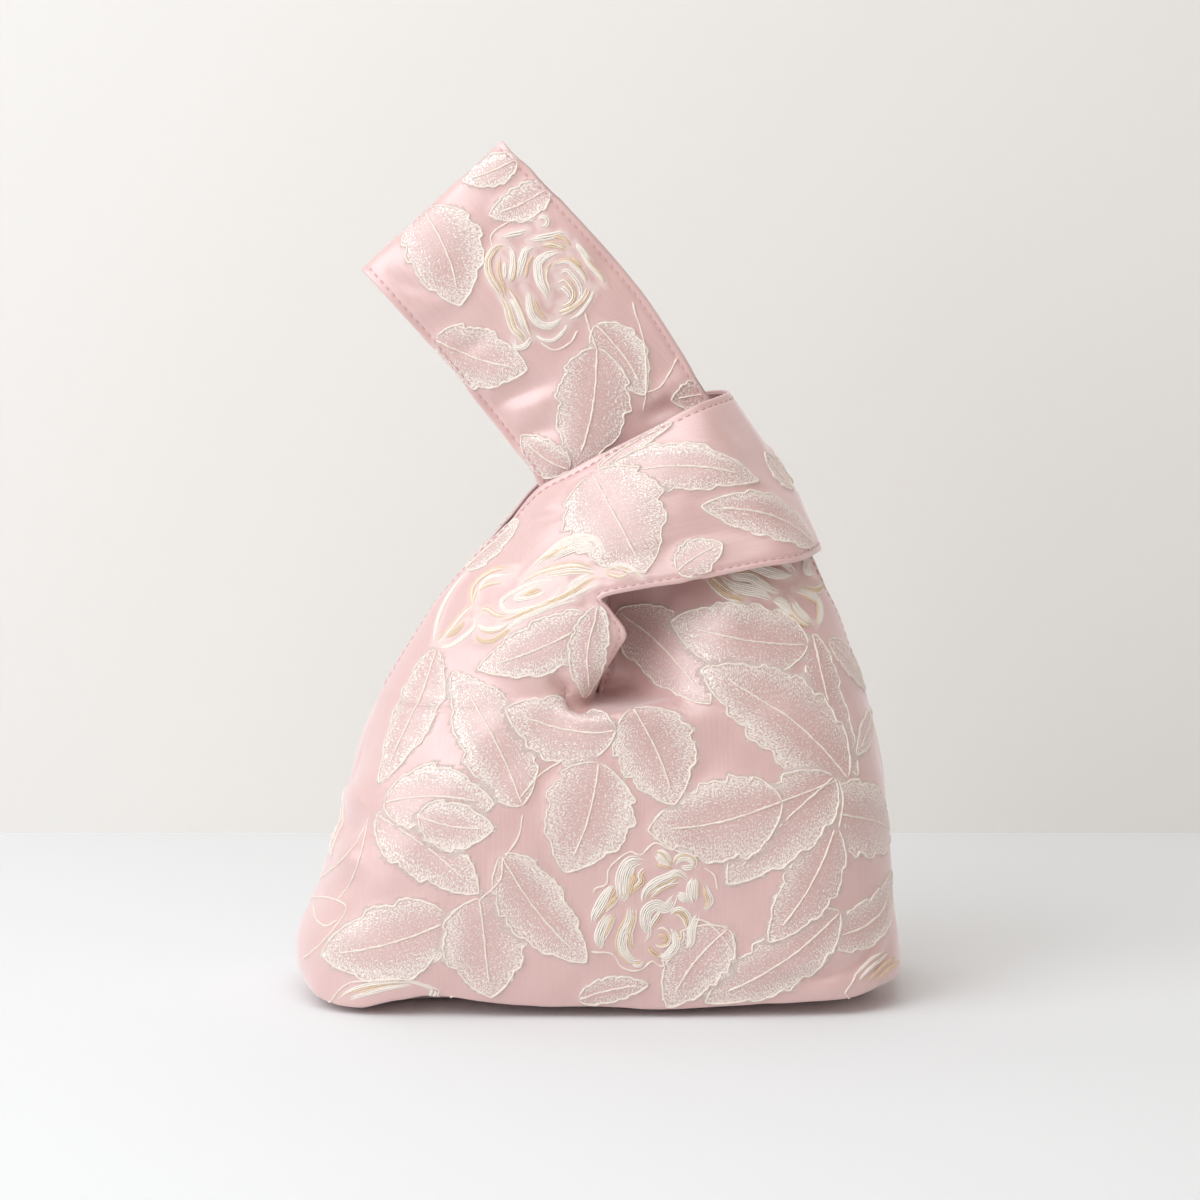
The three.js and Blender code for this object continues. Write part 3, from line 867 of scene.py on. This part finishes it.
for half in ("long", "short"):
    for base, tip, wide_pixels, fill, bend in LEAVES[half]:
        motif += 1
        ends = np.array([spot_at(base, half), spot_at(tip, half)])
        base_place, tip_place = cloth_at(front_points, front_normals, GRIDS[half], ends)[0]
        length = LEAF_PAST_ENDS * np.linalg.norm(tip_place - base_place)
        middle = spot_at(np.mean((base, tip), axis=0), half)
        start = compass(half, middle, tip_place)
        share, rib, halves = leaf_form(length, wide_pixels * MM_PER_PIXEL, bend, motif)
        across = np.linspace(-1, 1, LEAF_ACROSS)
        grid_share, grid_across = np.meshgrid(share, across, indexing="ij")
        wide = np.where(grid_across < 0, halves[0][:, None], halves[1][:, None])
        along = (grid_share - 0.5) * length
        beside = rib[:, None] + grid_across * wide
        spots = walk(half, start, along.ravel(), beside.ravel())
        touched = nearest_points(half, spots)
        rim = smooth_step(0.15, 0.95, np.abs(grid_across))
        ends_rim = smooth_step(0.55, 1.0, grid_share)
        thin_side = np.where(grid_across * (1 if motif % 2 else -1) < 0, THIN_SIDE, 1.0)
        dense = fill * mix(FILL_LEAST, 1.0, np.maximum(rim * thin_side, TIP_FILL * ends_rim))
        leaf_fill[touched] = dense.ravel()
        slant = along - STITCH_SLANT * np.abs(beside)
        speckle = np.full(along.size, SPECKLE_APART * motif)
        leaf_place[touched] = np.stack((slant.ravel(), beside.ravel(), speckle), axis=1)
        worked_by[touched] = motif
        rim_along = np.concatenate((share, share[::-1])) * length - length / 2
        rim_beside = np.concatenate((rib - halves[0], (rib + halves[1])[::-1]))
        cords.append((half, motif, walk(half, start, rim_along, rim_beside), RIM_CORD))
        rib_end = int(RIB_SHARE * LEAF_STEPS)
        rib_along = share[:rib_end] * length - length / 2
        cords.append((half, motif, walk(half, start, rib_along, rib[:rib_end]), RIB_CORD))
    for pixels in STEMS[half]:
        line = curve_through(pixels, 12 * len(pixels))
        cords.append((half, ON_TOP, np.array([spot_at(pixel, half) for pixel in line]), STEM_CORD))

# A worked stroke is this much wider than it was drawn.
PETAL_SPREAD = 1.5
petals = []
for half in ("long", "short"):
    for pixels, wide_pixels, beige_and_shade in ROSE_STROKES[half]:
        line = curve_through(pixels, 7 * len(pixels))
        spots = np.array([spot_at(pixel, half) for pixel in line])
        petals.append((half, spots, wide_pixels * MM_PER_PIXEL * PETAL_SPREAD, beige_and_shade))

# The petals lie on a pale ground of long flat stitches, which ends a little outside them. It is full up to
# the first distance from a petal's middle line and ends at the second. The low rose has little of it.
GROUND_FULL = 0.9
GROUND_END = 2.0
LOW_ROSE_TOP = 90.0
LOW_ROSE_GROUND = 0.25
rose_ground = np.zeros(len(flat_points))
for half, grid in GRIDS.items():
    middle_lines = [keep_on(half, spots)[0] for at, spots, _wide, _beige_and_shade in petals if at == half]
    places = cloth_at(front_points, front_normals, grid, np.concatenate(middle_lines))[0]
    near_petal = KDTree(len(places))
    for number, petal_place in enumerate(places):
        near_petal.insert(petal_place, number)
    near_petal.balance()
    ids = np.unique(grid)
    apart = np.array([near_petal.find(point)[2] for point in front_points[ids]])
    rose_ground[ids] = np.maximum(rose_ground[ids], 1 - smooth_step(GROUND_FULL, GROUND_END, apart))
rose_ground[worked_by >= 0] = 0
rose_ground[front_points[:, 2] < LOW_ROSE_TOP] *= LOW_ROSE_GROUND

# The wadding under the leaves lifts the satin a little, and it draws in between them.
PADDING = 0.6
PADDED_FROM = 0.1
PADDING_ROUNDS = 3
padded = np.maximum((leaf_fill > PADDED_FROM).astype(float), rose_ground)
for _ in range(PADDING_ROUNDS):
    around = np.bincount(neighbour_from, weights=padded[neighbour_to], minlength=len(padded))
    padded = 0.5 * padded + 0.5 * around / neighbour_count[:, 0]
padded[panel_edge] = 0
for name, (points, normals) in panel_shapes.items():
    points = points + PADDING * padded[:, None] * normals
    flip = np.array((1, PANELS[name][0], 1))
    panel_shapes[name] = (points, facing(points * flip, panel_faces) * flip)
front_points, front_normals = panel_shapes["front"]

# A thread wavers over this length, is sunk into the cloth a little and keeps a thin end.
UNEVEN_MM = 1.6
SUNK_MM = 0.12
THIN_END = 0.06
FEWEST_STEPS = 5


def strip(bundle, points, normals, half, spots, width, height, section, ends=0.12, aside=0.0, uneven=0.0):
    """Adds a raised thread that lies on the cloth along the spots, or some way aside of them."""
    grid = GRIDS[half]
    place, _square, _across, _up = cloth_at(points, normals, grid, spots)
    run = np.concatenate(([0], np.cumsum(np.linalg.norm(np.diff(place, axis=0), axis=1))))
    count = max(int(run[-1] / bundle["step"]), FEWEST_STEPS)
    at = np.linspace(0, run[-1], count)
    spots = np.stack([np.interp(at, run, spots[:, k]) for k in range(2)], axis=1)
    place, square, _across, _up = cloth_at(points, normals, grid, spots)
    ahead = np.gradient(place, axis=0)
    ahead /= np.maximum(np.linalg.norm(ahead, axis=1, keepdims=True), 1e-9)
    beside = np.cross(square, ahead)
    share = at / run[-1]
    taper = mix(THIN_END, 1.0, np.clip(np.minimum(share, 1 - share) / ends, 0, 1) ** 0.5)
    draw = np.random.default_rng(bundle["count"])
    knots = np.arange(0, run[-1] + 2 * UNEVEN_MM, UNEVEN_MM)
    thick, sway = (uneven * np.interp(at, knots, draw.uniform(-1, 1, len(knots))) for _ in range(2))
    wide = width / 2 * taper * (1 + thick)
    high = height * taper * (1 + thick)
    shift = aside * (0.3 + 0.7 * np.sin(math.pi * share) ** 0.5) + sway * width / 2
    sides = len(section)
    ring = np.stack([
        place + beside * (shift + out * wide)[:, None] + square * (up * high - SUNK_MM)[:, None]
        for out, up in section], axis=1)
    bundle["points"].append(ring.reshape(-1, 3))
    along = np.repeat(at[:, None], sides, axis=1)
    around = np.repeat(np.linspace(0, width, sides)[None, :], count, axis=0)
    bundle["uv"].append(np.stack((along, around), axis=2).reshape(-1, 2))
    ids = bundle["count"] + np.arange(count * sides).reshape(count, sides)
    wrapped = np.concatenate((ids, ids[:, :1]), axis=1)
    bundle["faces"] += cells(wrapped).tolist()
    bundle["faces"] += [ids[0].tolist(), ids[-1, ::-1].tolist()]
    bundle["count"] += count * sides


def new_bundle(step):
    return {"points": [], "faces": [], "uv": [], "count": 0, "step": step}


def bundle_piece(name, bundle, side):
    faces = bundle["faces"] if side < 0 else [face[::-1] for face in bundle["faces"]]
    return mesh_piece(name, np.concatenate(bundle["points"]), faces, np.concatenate(bundle["uv"]))


# Satin: a close weave whose long floats lie side by side, so it shines softly along one way and its
# folds run from pale pink to dusty rose. Worked leaves show as a speckle of short ivory stitches on it,
# with painted shade between the stitches, darker where a leaf's fill is thicker.
# The IOR is above silk's 1.55, to give the strong shine of the floats. Floats and stitches are drawn
# several times coarser than real ones, because those are finer than a pixel.
SATIN_ROSE = "#D4A49E"
SATIN_PALE = "#DFB6B1"
STITCH_IVORY = "#F8EFE5"
# Painted shade: the darker rose put between the stitches of a worked leaf.
STITCH_GAP_PAINTED_SHADE = "#C2988F"
GROUND_PALE = "#E2C4BD"
SHEEN_PALE = "#FFF6F8"
DRIFT_MM = 40.0
FLOAT_MM = 1.1
FLOAT_RUN = 0.06
FLECK_MM = 0.46
FLECK_RUN = 0.6
STITCH_FROM = -0.75
STITCH_GAIN = 0.33
GAP_SHADE = 0.4
SATIN_ROUGH = 0.46
STITCHED_ROUGHER = 0.14
RELIEF_MM = 0.16
satin = new_material("duchess_satin")
lay = add(satin, "ShaderNodeUVMap", uv_map="lay").outputs["UV"]
patch = add(satin, "ShaderNodeTexNoise", {"Vector": lay, "Scale": 1 / (DRIFT_MM * MM), "Detail": 2.0})
floats = add(satin, "ShaderNodeMapping", {
    "Vector": lay, "Scale": (1 / (FLOAT_MM * MM), FLOAT_RUN / (FLOAT_MM * MM), 1.0)})
thread_lines = add(satin, "ShaderNodeTexNoise", {"Vector": floats.outputs[0], "Scale": 1.0, "Detail": 1.0})
drift = add(satin, "ShaderNodeMath", {0: patch.outputs["Fac"], 1: 0.55, 2: -0.03}, operation="MULTIPLY_ADD")
mottle = add(satin, "ShaderNodeMath", {
    0: thread_lines.outputs["Fac"], 1: 0.5, 2: drift.outputs[0]}, operation="MULTIPLY_ADD")
tone = add(satin, "ShaderNodeMix", {
    "Factor": mottle.outputs[0], "A": colour(SATIN_ROSE), "B": colour(SATIN_PALE)}, data_type="RGBA")
fill = add(satin, "ShaderNodeAttribute", attribute_name="leaf_fill").outputs["Fac"]
place = add(satin, "ShaderNodeAttribute", attribute_name="leaf_place").outputs["Vector"]
fleck_lay = add(satin, "ShaderNodeMapping", {
    "Vector": place, "Scale": (1 / FLECK_MM, FLECK_RUN / FLECK_MM, 1.0)})
flecks = add(satin, "ShaderNodeTexNoise", {
    "Vector": fleck_lay.outputs[0], "Scale": 1.0, "Detail": 1.0, "Roughness": 0.6})
level = add(satin, "ShaderNodeMath", {0: fill, 1: STITCH_GAIN, 2: STITCH_FROM}, operation="MULTIPLY_ADD")
shown = add(satin, "ShaderNodeMath", {0: flecks.outputs["Fac"], 1: level.outputs[0]}, operation="ADD")
worked = add(satin, "ShaderNodeMapRange", {
    "Value": shown.outputs[0], "From Min": -0.035, "From Max": 0.05, "To Max": 0.95})
# Painted shade between the stitches: the satin of a leaf darkens towards the shaded rose as its fill
# thickens.
painted_gap_shade = add(satin, "ShaderNodeMapRange", {
    "Value": fill, "From Min": 0.2, "From Max": 0.75, "To Max": GAP_SHADE})
ground = add(satin, "ShaderNodeMix", {
    "Factor": painted_gap_shade.outputs[0], "A": tone.outputs["Result"], "B": colour(STITCH_GAP_PAINTED_SHADE)}, data_type="RGBA")
flat_stitch = add(satin, "ShaderNodeAttribute", attribute_name="rose_ground").outputs["Fac"]
petal_ground = add(satin, "ShaderNodeMix", {
    "Factor": flat_stitch, "A": ground.outputs["Result"], "B": colour(GROUND_PALE)}, data_type="RGBA")
cloth_colour = add(satin, "ShaderNodeMix", {
    "Factor": worked.outputs[0], "A": petal_ground.outputs["Result"], "B": colour(STITCH_IVORY)},
    data_type="RGBA")
gloss = add(satin, "ShaderNodeMath", {
    0: flat_stitch, 1: STITCHED_ROUGHER, 2: SATIN_ROUGH}, operation="MULTIPLY_ADD")
high = add(satin, "ShaderNodeMath", {
    0: worked.outputs[0], 1: 2.0, 2: thread_lines.outputs["Fac"]}, operation="MULTIPLY_ADD")
relief = add(satin, "ShaderNodeBump", {
    "Height": high.outputs[0], "Strength": 0.5, "Distance": RELIEF_MM * MM})
satin_shader = add(satin, "ShaderNodeBsdfPrincipled", {
    "Base Color": cloth_colour.outputs["Result"], "Roughness": gloss.outputs[0],
    "Normal": relief.outputs[0], "IOR": 2.0, "Specular IOR Level": 0.9,
    "Sheen Weight": 1.0, "Sheen Roughness": 0.5, "Sheen Tint": colour(SHEEN_PALE)})
finish_material(satin, satin_shader)


def point_values(piece, name, values):
    """Stores a number or a vector for each point of a piece's outer face; the other points get zero."""
    kind, field = ("FLOAT", "value") if values.ndim == 1 else ("FLOAT_VECTOR", "vector")
    stored = np.zeros((len(piece.data.vertices), *values.shape[1:]))
    stored[:len(values)] = values
    piece.data.attributes.new(name, kind, "POINT").data.foreach_set(field, stored.ravel())


# The satin pieces themselves, front and back.
for name, (side, _seed) in PANELS.items():
    points, normals = panel_shapes[name]
    shell, quads = closed_cloth(points, normals, panel_faces, panel_edge, 0.0, CLOTH_THICK, side)
    edge_uv = np.tile(panel_uv[panel_edge], (3, 1))
    piece = mesh_piece(f"satin_{name}", shell, quads, np.concatenate((panel_uv, panel_uv, edge_uv)))
    point_values(piece, "leaf_fill", leaf_fill)
    point_values(piece, "rose_ground", rose_ground)
    point_values(piece, "leaf_place", leaf_place)
    piece.data.materials.append(satin)
    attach(piece, "root")
    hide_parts(f"outer_{name}_panel")

# The lining. A plain weave of the same cut, sewn to the satin along the handles' edges and turned in.
# It shows between the two layers of a handle and inside the neck. Taffeta is smooth and a little paler
# where its yarns thicken; its weave is drawn coarse enough to show.
LINING_ROSE = "#D9B3B2"
LINING_PALE = "#E2C3C1"
LINING_TOP = 1.5
LINING_THICK = 0.5
LINING_EVERY = 3


def spun_material(name, dark, light, fibre_mm, roughness, relief_mm=0.0, strength=0.4, combed=1.0,
                  detail=2.0, sheen=0.0):
    """Thread or plain cloth: fibres of two tones, combed along its lay and standing up a little."""
    material = new_material(name)
    along = add(material, "ShaderNodeUVMap", uv_map="lay").outputs["UV"]
    drawn = add(material, "ShaderNodeMapping", {"Vector": along, "Scale": (combed, 1.0, 1.0)})
    fibres = add(material, "ShaderNodeTexNoise", {
        "Vector": drawn.outputs[0], "Scale": 1 / (fibre_mm * MM), "Detail": detail}).outputs["Fac"]
    tones = add(material, "ShaderNodeMix", {
        "Factor": fibres, "A": colour(dark), "B": colour(light)}, data_type="RGBA")
    finish = {"Base Color": tones.outputs["Result"], "Roughness": roughness, "Sheen Weight": sheen}
    if relief_mm:
        raised = add(material, "ShaderNodeBump", {
            "Height": fibres, "Strength": strength, "Distance": relief_mm * MM})
        finish["Normal"] = raised.outputs[0]
    finish_material(material, add(material, "ShaderNodeBsdfPrincipled", finish))
    return material


lining_cloth = spun_material(
    "lining_taffeta", LINING_ROSE, LINING_PALE, fibre_mm=1.2, roughness=0.55, relief_mm=0.1, strength=0.2)


def thinned(count, *keep):
    """Every third number up to count, with the ones to keep."""
    return np.array(sorted({*range(0, count, LINING_EVERY), *keep, count - 1}))


def lining_grid(ids, rows, columns):
    return cells(ids[np.ix_(rows, columns)])


body_pick = thinned(BODY_ROWS)
column_pick = thinned(WIDE, COLUMNS)
left_pick = column_pick[column_pick <= COLUMNS]
right_pick = column_pick[column_pick >= COLUMNS]
short_pick = BODY_ROWS - 1 + thinned(len(short_grid) - BODY_ROWS + 1)
long_pick = BODY_ROWS - 1 + thinned(len(long_grid) - BODY_ROWS + 1)
coarse_faces = np.concatenate((
    lining_grid(body_ids, body_pick, column_pick),
    lining_grid(short_grid, short_pick, left_pick),
    lining_grid(long_grid, long_pick, right_pick),
))
used, renumbered = np.unique(coarse_faces, return_inverse=True)
lining_faces = renumbered.reshape(-1, 4)
lining_edge = edge_loop(lining_faces)
for name, (side, _seed) in PANELS.items():
    points, normals = panel_shapes[name]
    shell, quads = closed_cloth(
        points[used], normals[used], lining_faces, lining_edge, LINING_TOP, LINING_THICK, side)
    uv = panel_uv[used]
    edge_uv = np.tile(uv[lining_edge], (3, 1))
    piece = mesh_piece(f"lining_{name}", shell, quads, np.concatenate((uv, uv, edge_uv)))
    piece.data.materials.append(lining_cloth)
    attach(piece, "root")
    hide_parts(f"lining_{name}_panel")

# The embroidery cords. A twisted ivory rayon cord is couched round every leaf, along its rib and as the
# stems. It stands about half a millimetre proud and wavers as handwork does. Its twist shows as a slight
# change from cream to white along it.
CORD_CREAM = "#E6D5C4"
CORD_WHITE = "#FCF6EE"
CORD_STEP = 0.75
CORD_HIGH = 0.55
CORD_ENDS = 0.04
CORD_UNEVEN = 0.32
SHORTEST_RUN = 5
CORD_SECTION = [(1, 0), (0.72, 0.72), (0, 1), (-0.72, 0.72), (-1, 0)]
cord_ivory = spun_material(
    "rayon_cord", CORD_CREAM, CORD_WHITE, fibre_mm=1.3, roughness=0.5, relief_mm=0.15)


def shown_runs(half, number, spots):
    """The stretches of a cord that no later leaf covers and that lie inside the panel."""
    kept, inside = keep_on(half, spots)
    shown = inside & (worked_by[nearest_points(half, kept)] <= number)
    runs = np.split(kept, np.flatnonzero(np.diff(shown.astype(int))) + 1)
    flags = np.split(shown, np.flatnonzero(np.diff(shown.astype(int))) + 1)
    return [run for run, flag in zip(runs, flags) if flag[0] and len(run) >= SHORTEST_RUN]


needlework = {name: [] for name in PANELS}
for name, (side, _seed) in PANELS.items():
    points, normals = panel_shapes[name]
    bundle = new_bundle(CORD_STEP)
    for half, number, spots, width in cords:
        for run in shown_runs(half, number, spots):
            strip(bundle, points, normals, half, run, width, CORD_HIGH, CORD_SECTION,
                  ends=CORD_ENDS, uneven=CORD_UNEVEN)
    piece = bundle_piece(f"leaf_cords_{name}", bundle, side)
    piece.data.materials.append(cord_ivory)
    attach(piece, "root")
    needlework[name].append(piece)

# The roses. Each petal is a padded stroke of satin stitch, ivory or beige, that stands about half to one
# millimetre proud, with the threads of the stitch lying along it. The beige is partly beige thread and
# partly painted shade on the shaded side of the petals. Silk floss is smooth and a little glossy, with fine
# fibres from cream to white. Threads are drawn about twice as wide as real ones.
PETAL_HIGH = {"long": 0.85, "short": 0.5}
THREAD_WIDE = {"long": 0.72, "short": 0.6}
THREAD_OVERLAP = 1.2
THREAD_STEP = 0.8
THREAD_ENDS = 0.25
THREAD_UNEVEN = 0.12
THREAD_SECTION = [(1, 0), (0.62, 0.8), (0, 1), (-0.62, 0.8), (-1, 0)]
RAGGED_ENDS = 0.14
STRAY_BEIGE = 0.14
MOST_BEIGE_AND_SHADE = 0.7
SHORTEST_PETAL = 9
# The beige floss is partly beige thread and partly painted shade for the shaded side of petals.
FLOSS = {"ivory": ("#EBDDCF", "#FDFAF5"), "beige_and_shade": ("#D9B791", "#F2E0C9")}
floss_materials = {
    tag: spun_material(f"silk_floss_{tag}", dark, light, fibre_mm=0.6, roughness=0.42, relief_mm=0.15,
                       combed=0.3, sheen=0.1)
    for tag, (dark, light) in FLOSS.items()}
for name, (side, seed) in PANELS.items():
    points, normals = panel_shapes[name]
    draw = np.random.default_rng(seed)
    bundles = {tag: new_bundle(THREAD_STEP) for tag in FLOSS}
    for half, spots, width, is_beige_and_shade in petals:
        kept, inside = keep_on(half, spots)
        kept = kept[inside]
        if len(kept) < SHORTEST_PETAL:
            continue
        threads = max(round(width / THREAD_WIDE[half]), 2)
        for k in range(threads):
            off = (2 * k + 1) / threads - 1
            first = int(draw.uniform(0, RAGGED_ENDS) * len(kept))
            last = len(kept) - int(draw.uniform(0, RAGGED_ENDS) * len(kept))
            # Beige floss here is partly real beige thread and partly painted shade.
            beige_and_shade_share = MOST_BEIGE_AND_SHADE if is_beige_and_shade else STRAY_BEIGE
            tag = "beige_and_shade" if draw.uniform() < beige_and_shade_share else "ivory"
            rise = PETAL_HIGH[half] * (1 - 0.5 * off * off) * draw.uniform(0.85, 1.1)
            strip(bundles[tag], points, normals, half, kept[first:last], THREAD_OVERLAP * THREAD_WIDE[half],
                  rise, THREAD_SECTION, THREAD_ENDS, off * width / 2, THREAD_UNEVEN)
    for tag, bundle in bundles.items():
        piece = bundle_piece(f"rose_petals_{tag}_{name}", bundle, side)
        piece.data.materials.append(floss_materials[tag])
        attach(piece, "root")
        needlework[name].append(piece)

# The topstitching. One row of machine stitches runs round every free edge of both handles, a little in
# from the edge, and draws the satin down onto the lining. The polyester thread matches the satin and is a
# little duller.
THREAD_ROSE = "#CFA0A2"
THREAD_PALE = "#E3BDBD"
STITCH_LONG = 2.5
STITCH_GAP = 0.7
STITCH_WIDE = 0.6
STITCH_HIGH = 0.55
STITCH_STEP = 0.6
STITCH_ENDS = 0.3
STITCH_SPOTS = 5
stitch_thread = spun_material(
    "polyester_thread", THREAD_ROSE, THREAD_PALE, fibre_mm=0.6, roughness=0.45, detail=1.0)


def hem_lines():
    """Spots along the four free edges, the hem's inset in from each."""
    lines = []
    for half, columns in (("short", range(0, COLUMNS + 1)), ("long", range(COLUMNS, WIDE))):
        columns = np.array(list(columns))
        for order in (columns, columns[::-1]):
            ids = GRIDS[half][BODY_ROWS:, order]
            step = np.linalg.norm(np.diff(front_points[ids], axis=1), axis=2)
            run = np.concatenate((np.zeros((len(ids), 1)), np.cumsum(step, axis=1)), axis=1)
            column = [np.interp(HEM_INSET, length, order) for length in run]
            lines.append((half, np.stack((column, BODY_ROWS + np.arange(len(ids))), axis=1)))
    return lines


for name, (side, _seed) in PANELS.items():
    points, normals = panel_shapes[name]
    bundle = new_bundle(STITCH_STEP)
    for half, spots in hem_lines():
        place = cloth_at(points, normals, GRIDS[half], spots)[0]
        run = np.concatenate(([0], np.cumsum(np.linalg.norm(np.diff(place, axis=0), axis=1))))
        for first in np.arange(0, run[-1] - STITCH_LONG, STITCH_LONG + STITCH_GAP):
            at = np.linspace(first, first + STITCH_LONG, STITCH_SPOTS)
            stitch = np.stack([np.interp(at, run, spots[:, k]) for k in range(2)], axis=1)
            strip(bundle, points, normals, half, stitch, STITCH_WIDE, STITCH_HIGH, CORD_SECTION, STITCH_ENDS)
    piece = bundle_piece(f"topstitching_{name}", bundle, side)
    piece.data.materials.append(stitch_thread)
    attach(piece, "root")
    needlework[name].append(piece)

# The table and the wall behind it, both matt white, and the soft light of a window on the left.
TABLE_BACK = 0.29
TABLE_REACH = 3.0
WALL_HIGH = 3.0


def plain_paint(name, code):
    """Matt paint that shows on the front of a plane only, so that the bag can be seen from behind it."""
    paint = new_material(name)
    grain = add(paint, "ShaderNodeTexNoise", {"Scale": 1 / (25 * MM), "Detail": 3.0})
    shade = add(paint, "ShaderNodeBump", {
        "Height": grain.outputs["Fac"], "Strength": 0.02, "Distance": 0.1 * MM})
    shader = add(paint, "ShaderNodeBsdfPrincipled", {
        "Base Color": colour(code), "Roughness": 0.75, "Normal": shade.outputs[0]})
    clear = add(paint, "ShaderNodeBsdfTransparent")
    back = add(paint, "ShaderNodeNewGeometry").outputs["Backfacing"]
    one_sided = add(paint, "ShaderNodeMixShader", {0: back, 1: shader.outputs[0], 2: clear.outputs[0]})
    finish_material(paint, one_sided)
    return paint


def stage_plane(name, corners, code):
    mesh = bpy.data.meshes.new(name)
    mesh.from_pydata(corners, [], [(0, 1, 2, 3)])
    plane = bpy.data.objects.new(name, mesh)
    bpy.context.scene.collection.objects.link(plane)
    plane.data.materials.append(plain_paint(f"{name}_paint", code))


stage_plane("table", [(-TABLE_REACH, -TABLE_REACH, 0), (TABLE_REACH, -TABLE_REACH, 0),
                      (TABLE_REACH, TABLE_REACH, 0), (-TABLE_REACH, TABLE_REACH, 0)], "#EBEDEE")
stage_plane("wall", [(-TABLE_REACH, TABLE_BACK, 0), (TABLE_REACH, TABLE_BACK, 0),
                     (TABLE_REACH, TABLE_BACK, WALL_HIGH), (-TABLE_REACH, TABLE_BACK, WALL_HIGH)], "#ECEAE6")


def soft_light(name, place, aim, size, watts, code):
    lamp = bpy.data.lights.new(name, "AREA")
    lamp.size = size
    lamp.energy = watts
    lamp.color = colour(code)[:3]
    lit = bpy.data.objects.new(name, lamp)
    lit.location = place
    heading = np.array(aim) - np.array(place)
    flat = math.hypot(heading[0], heading[1])
    lit.rotation_euler = (math.atan2(flat, -heading[2]), 0.0, math.atan2(-heading[0], heading[1]))
    bpy.context.scene.collection.objects.link(lit)


soft_light("window_left", (-1.3, -0.95, 1.0), (0, 0, 0.12), 1.5, 19.0, "#F2F8FF")
soft_light("ceiling", (-0.15, -0.45, 1.05), (0, 0, 0.15), 1.0, 4.8, "#F6FAFF")
ROOM_LIGHT = 0.44
world = bpy.data.worlds.new("room")
world.use_nodes = True
world.node_tree.nodes.clear()
seen = add(world, "ShaderNodeLightPath").outputs["Is Camera Ray"]
room_light = add(world, "ShaderNodeBackground", {"Color": colour("#FFF3E8"), "Strength": ROOM_LIGHT})
room_seen = add(world, "ShaderNodeBackground", {"Color": colour("#E6E4E1"), "Strength": 1.0})
room = add(world, "ShaderNodeMixShader", {0: seen, 1: room_light.outputs[0], 2: room_seen.outputs[0]})
add(world, "ShaderNodeOutputWorld", {"Surface": room.outputs[0]})
bpy.context.scene.world = world
bpy.context.scene.view_settings.view_transform = "Standard"
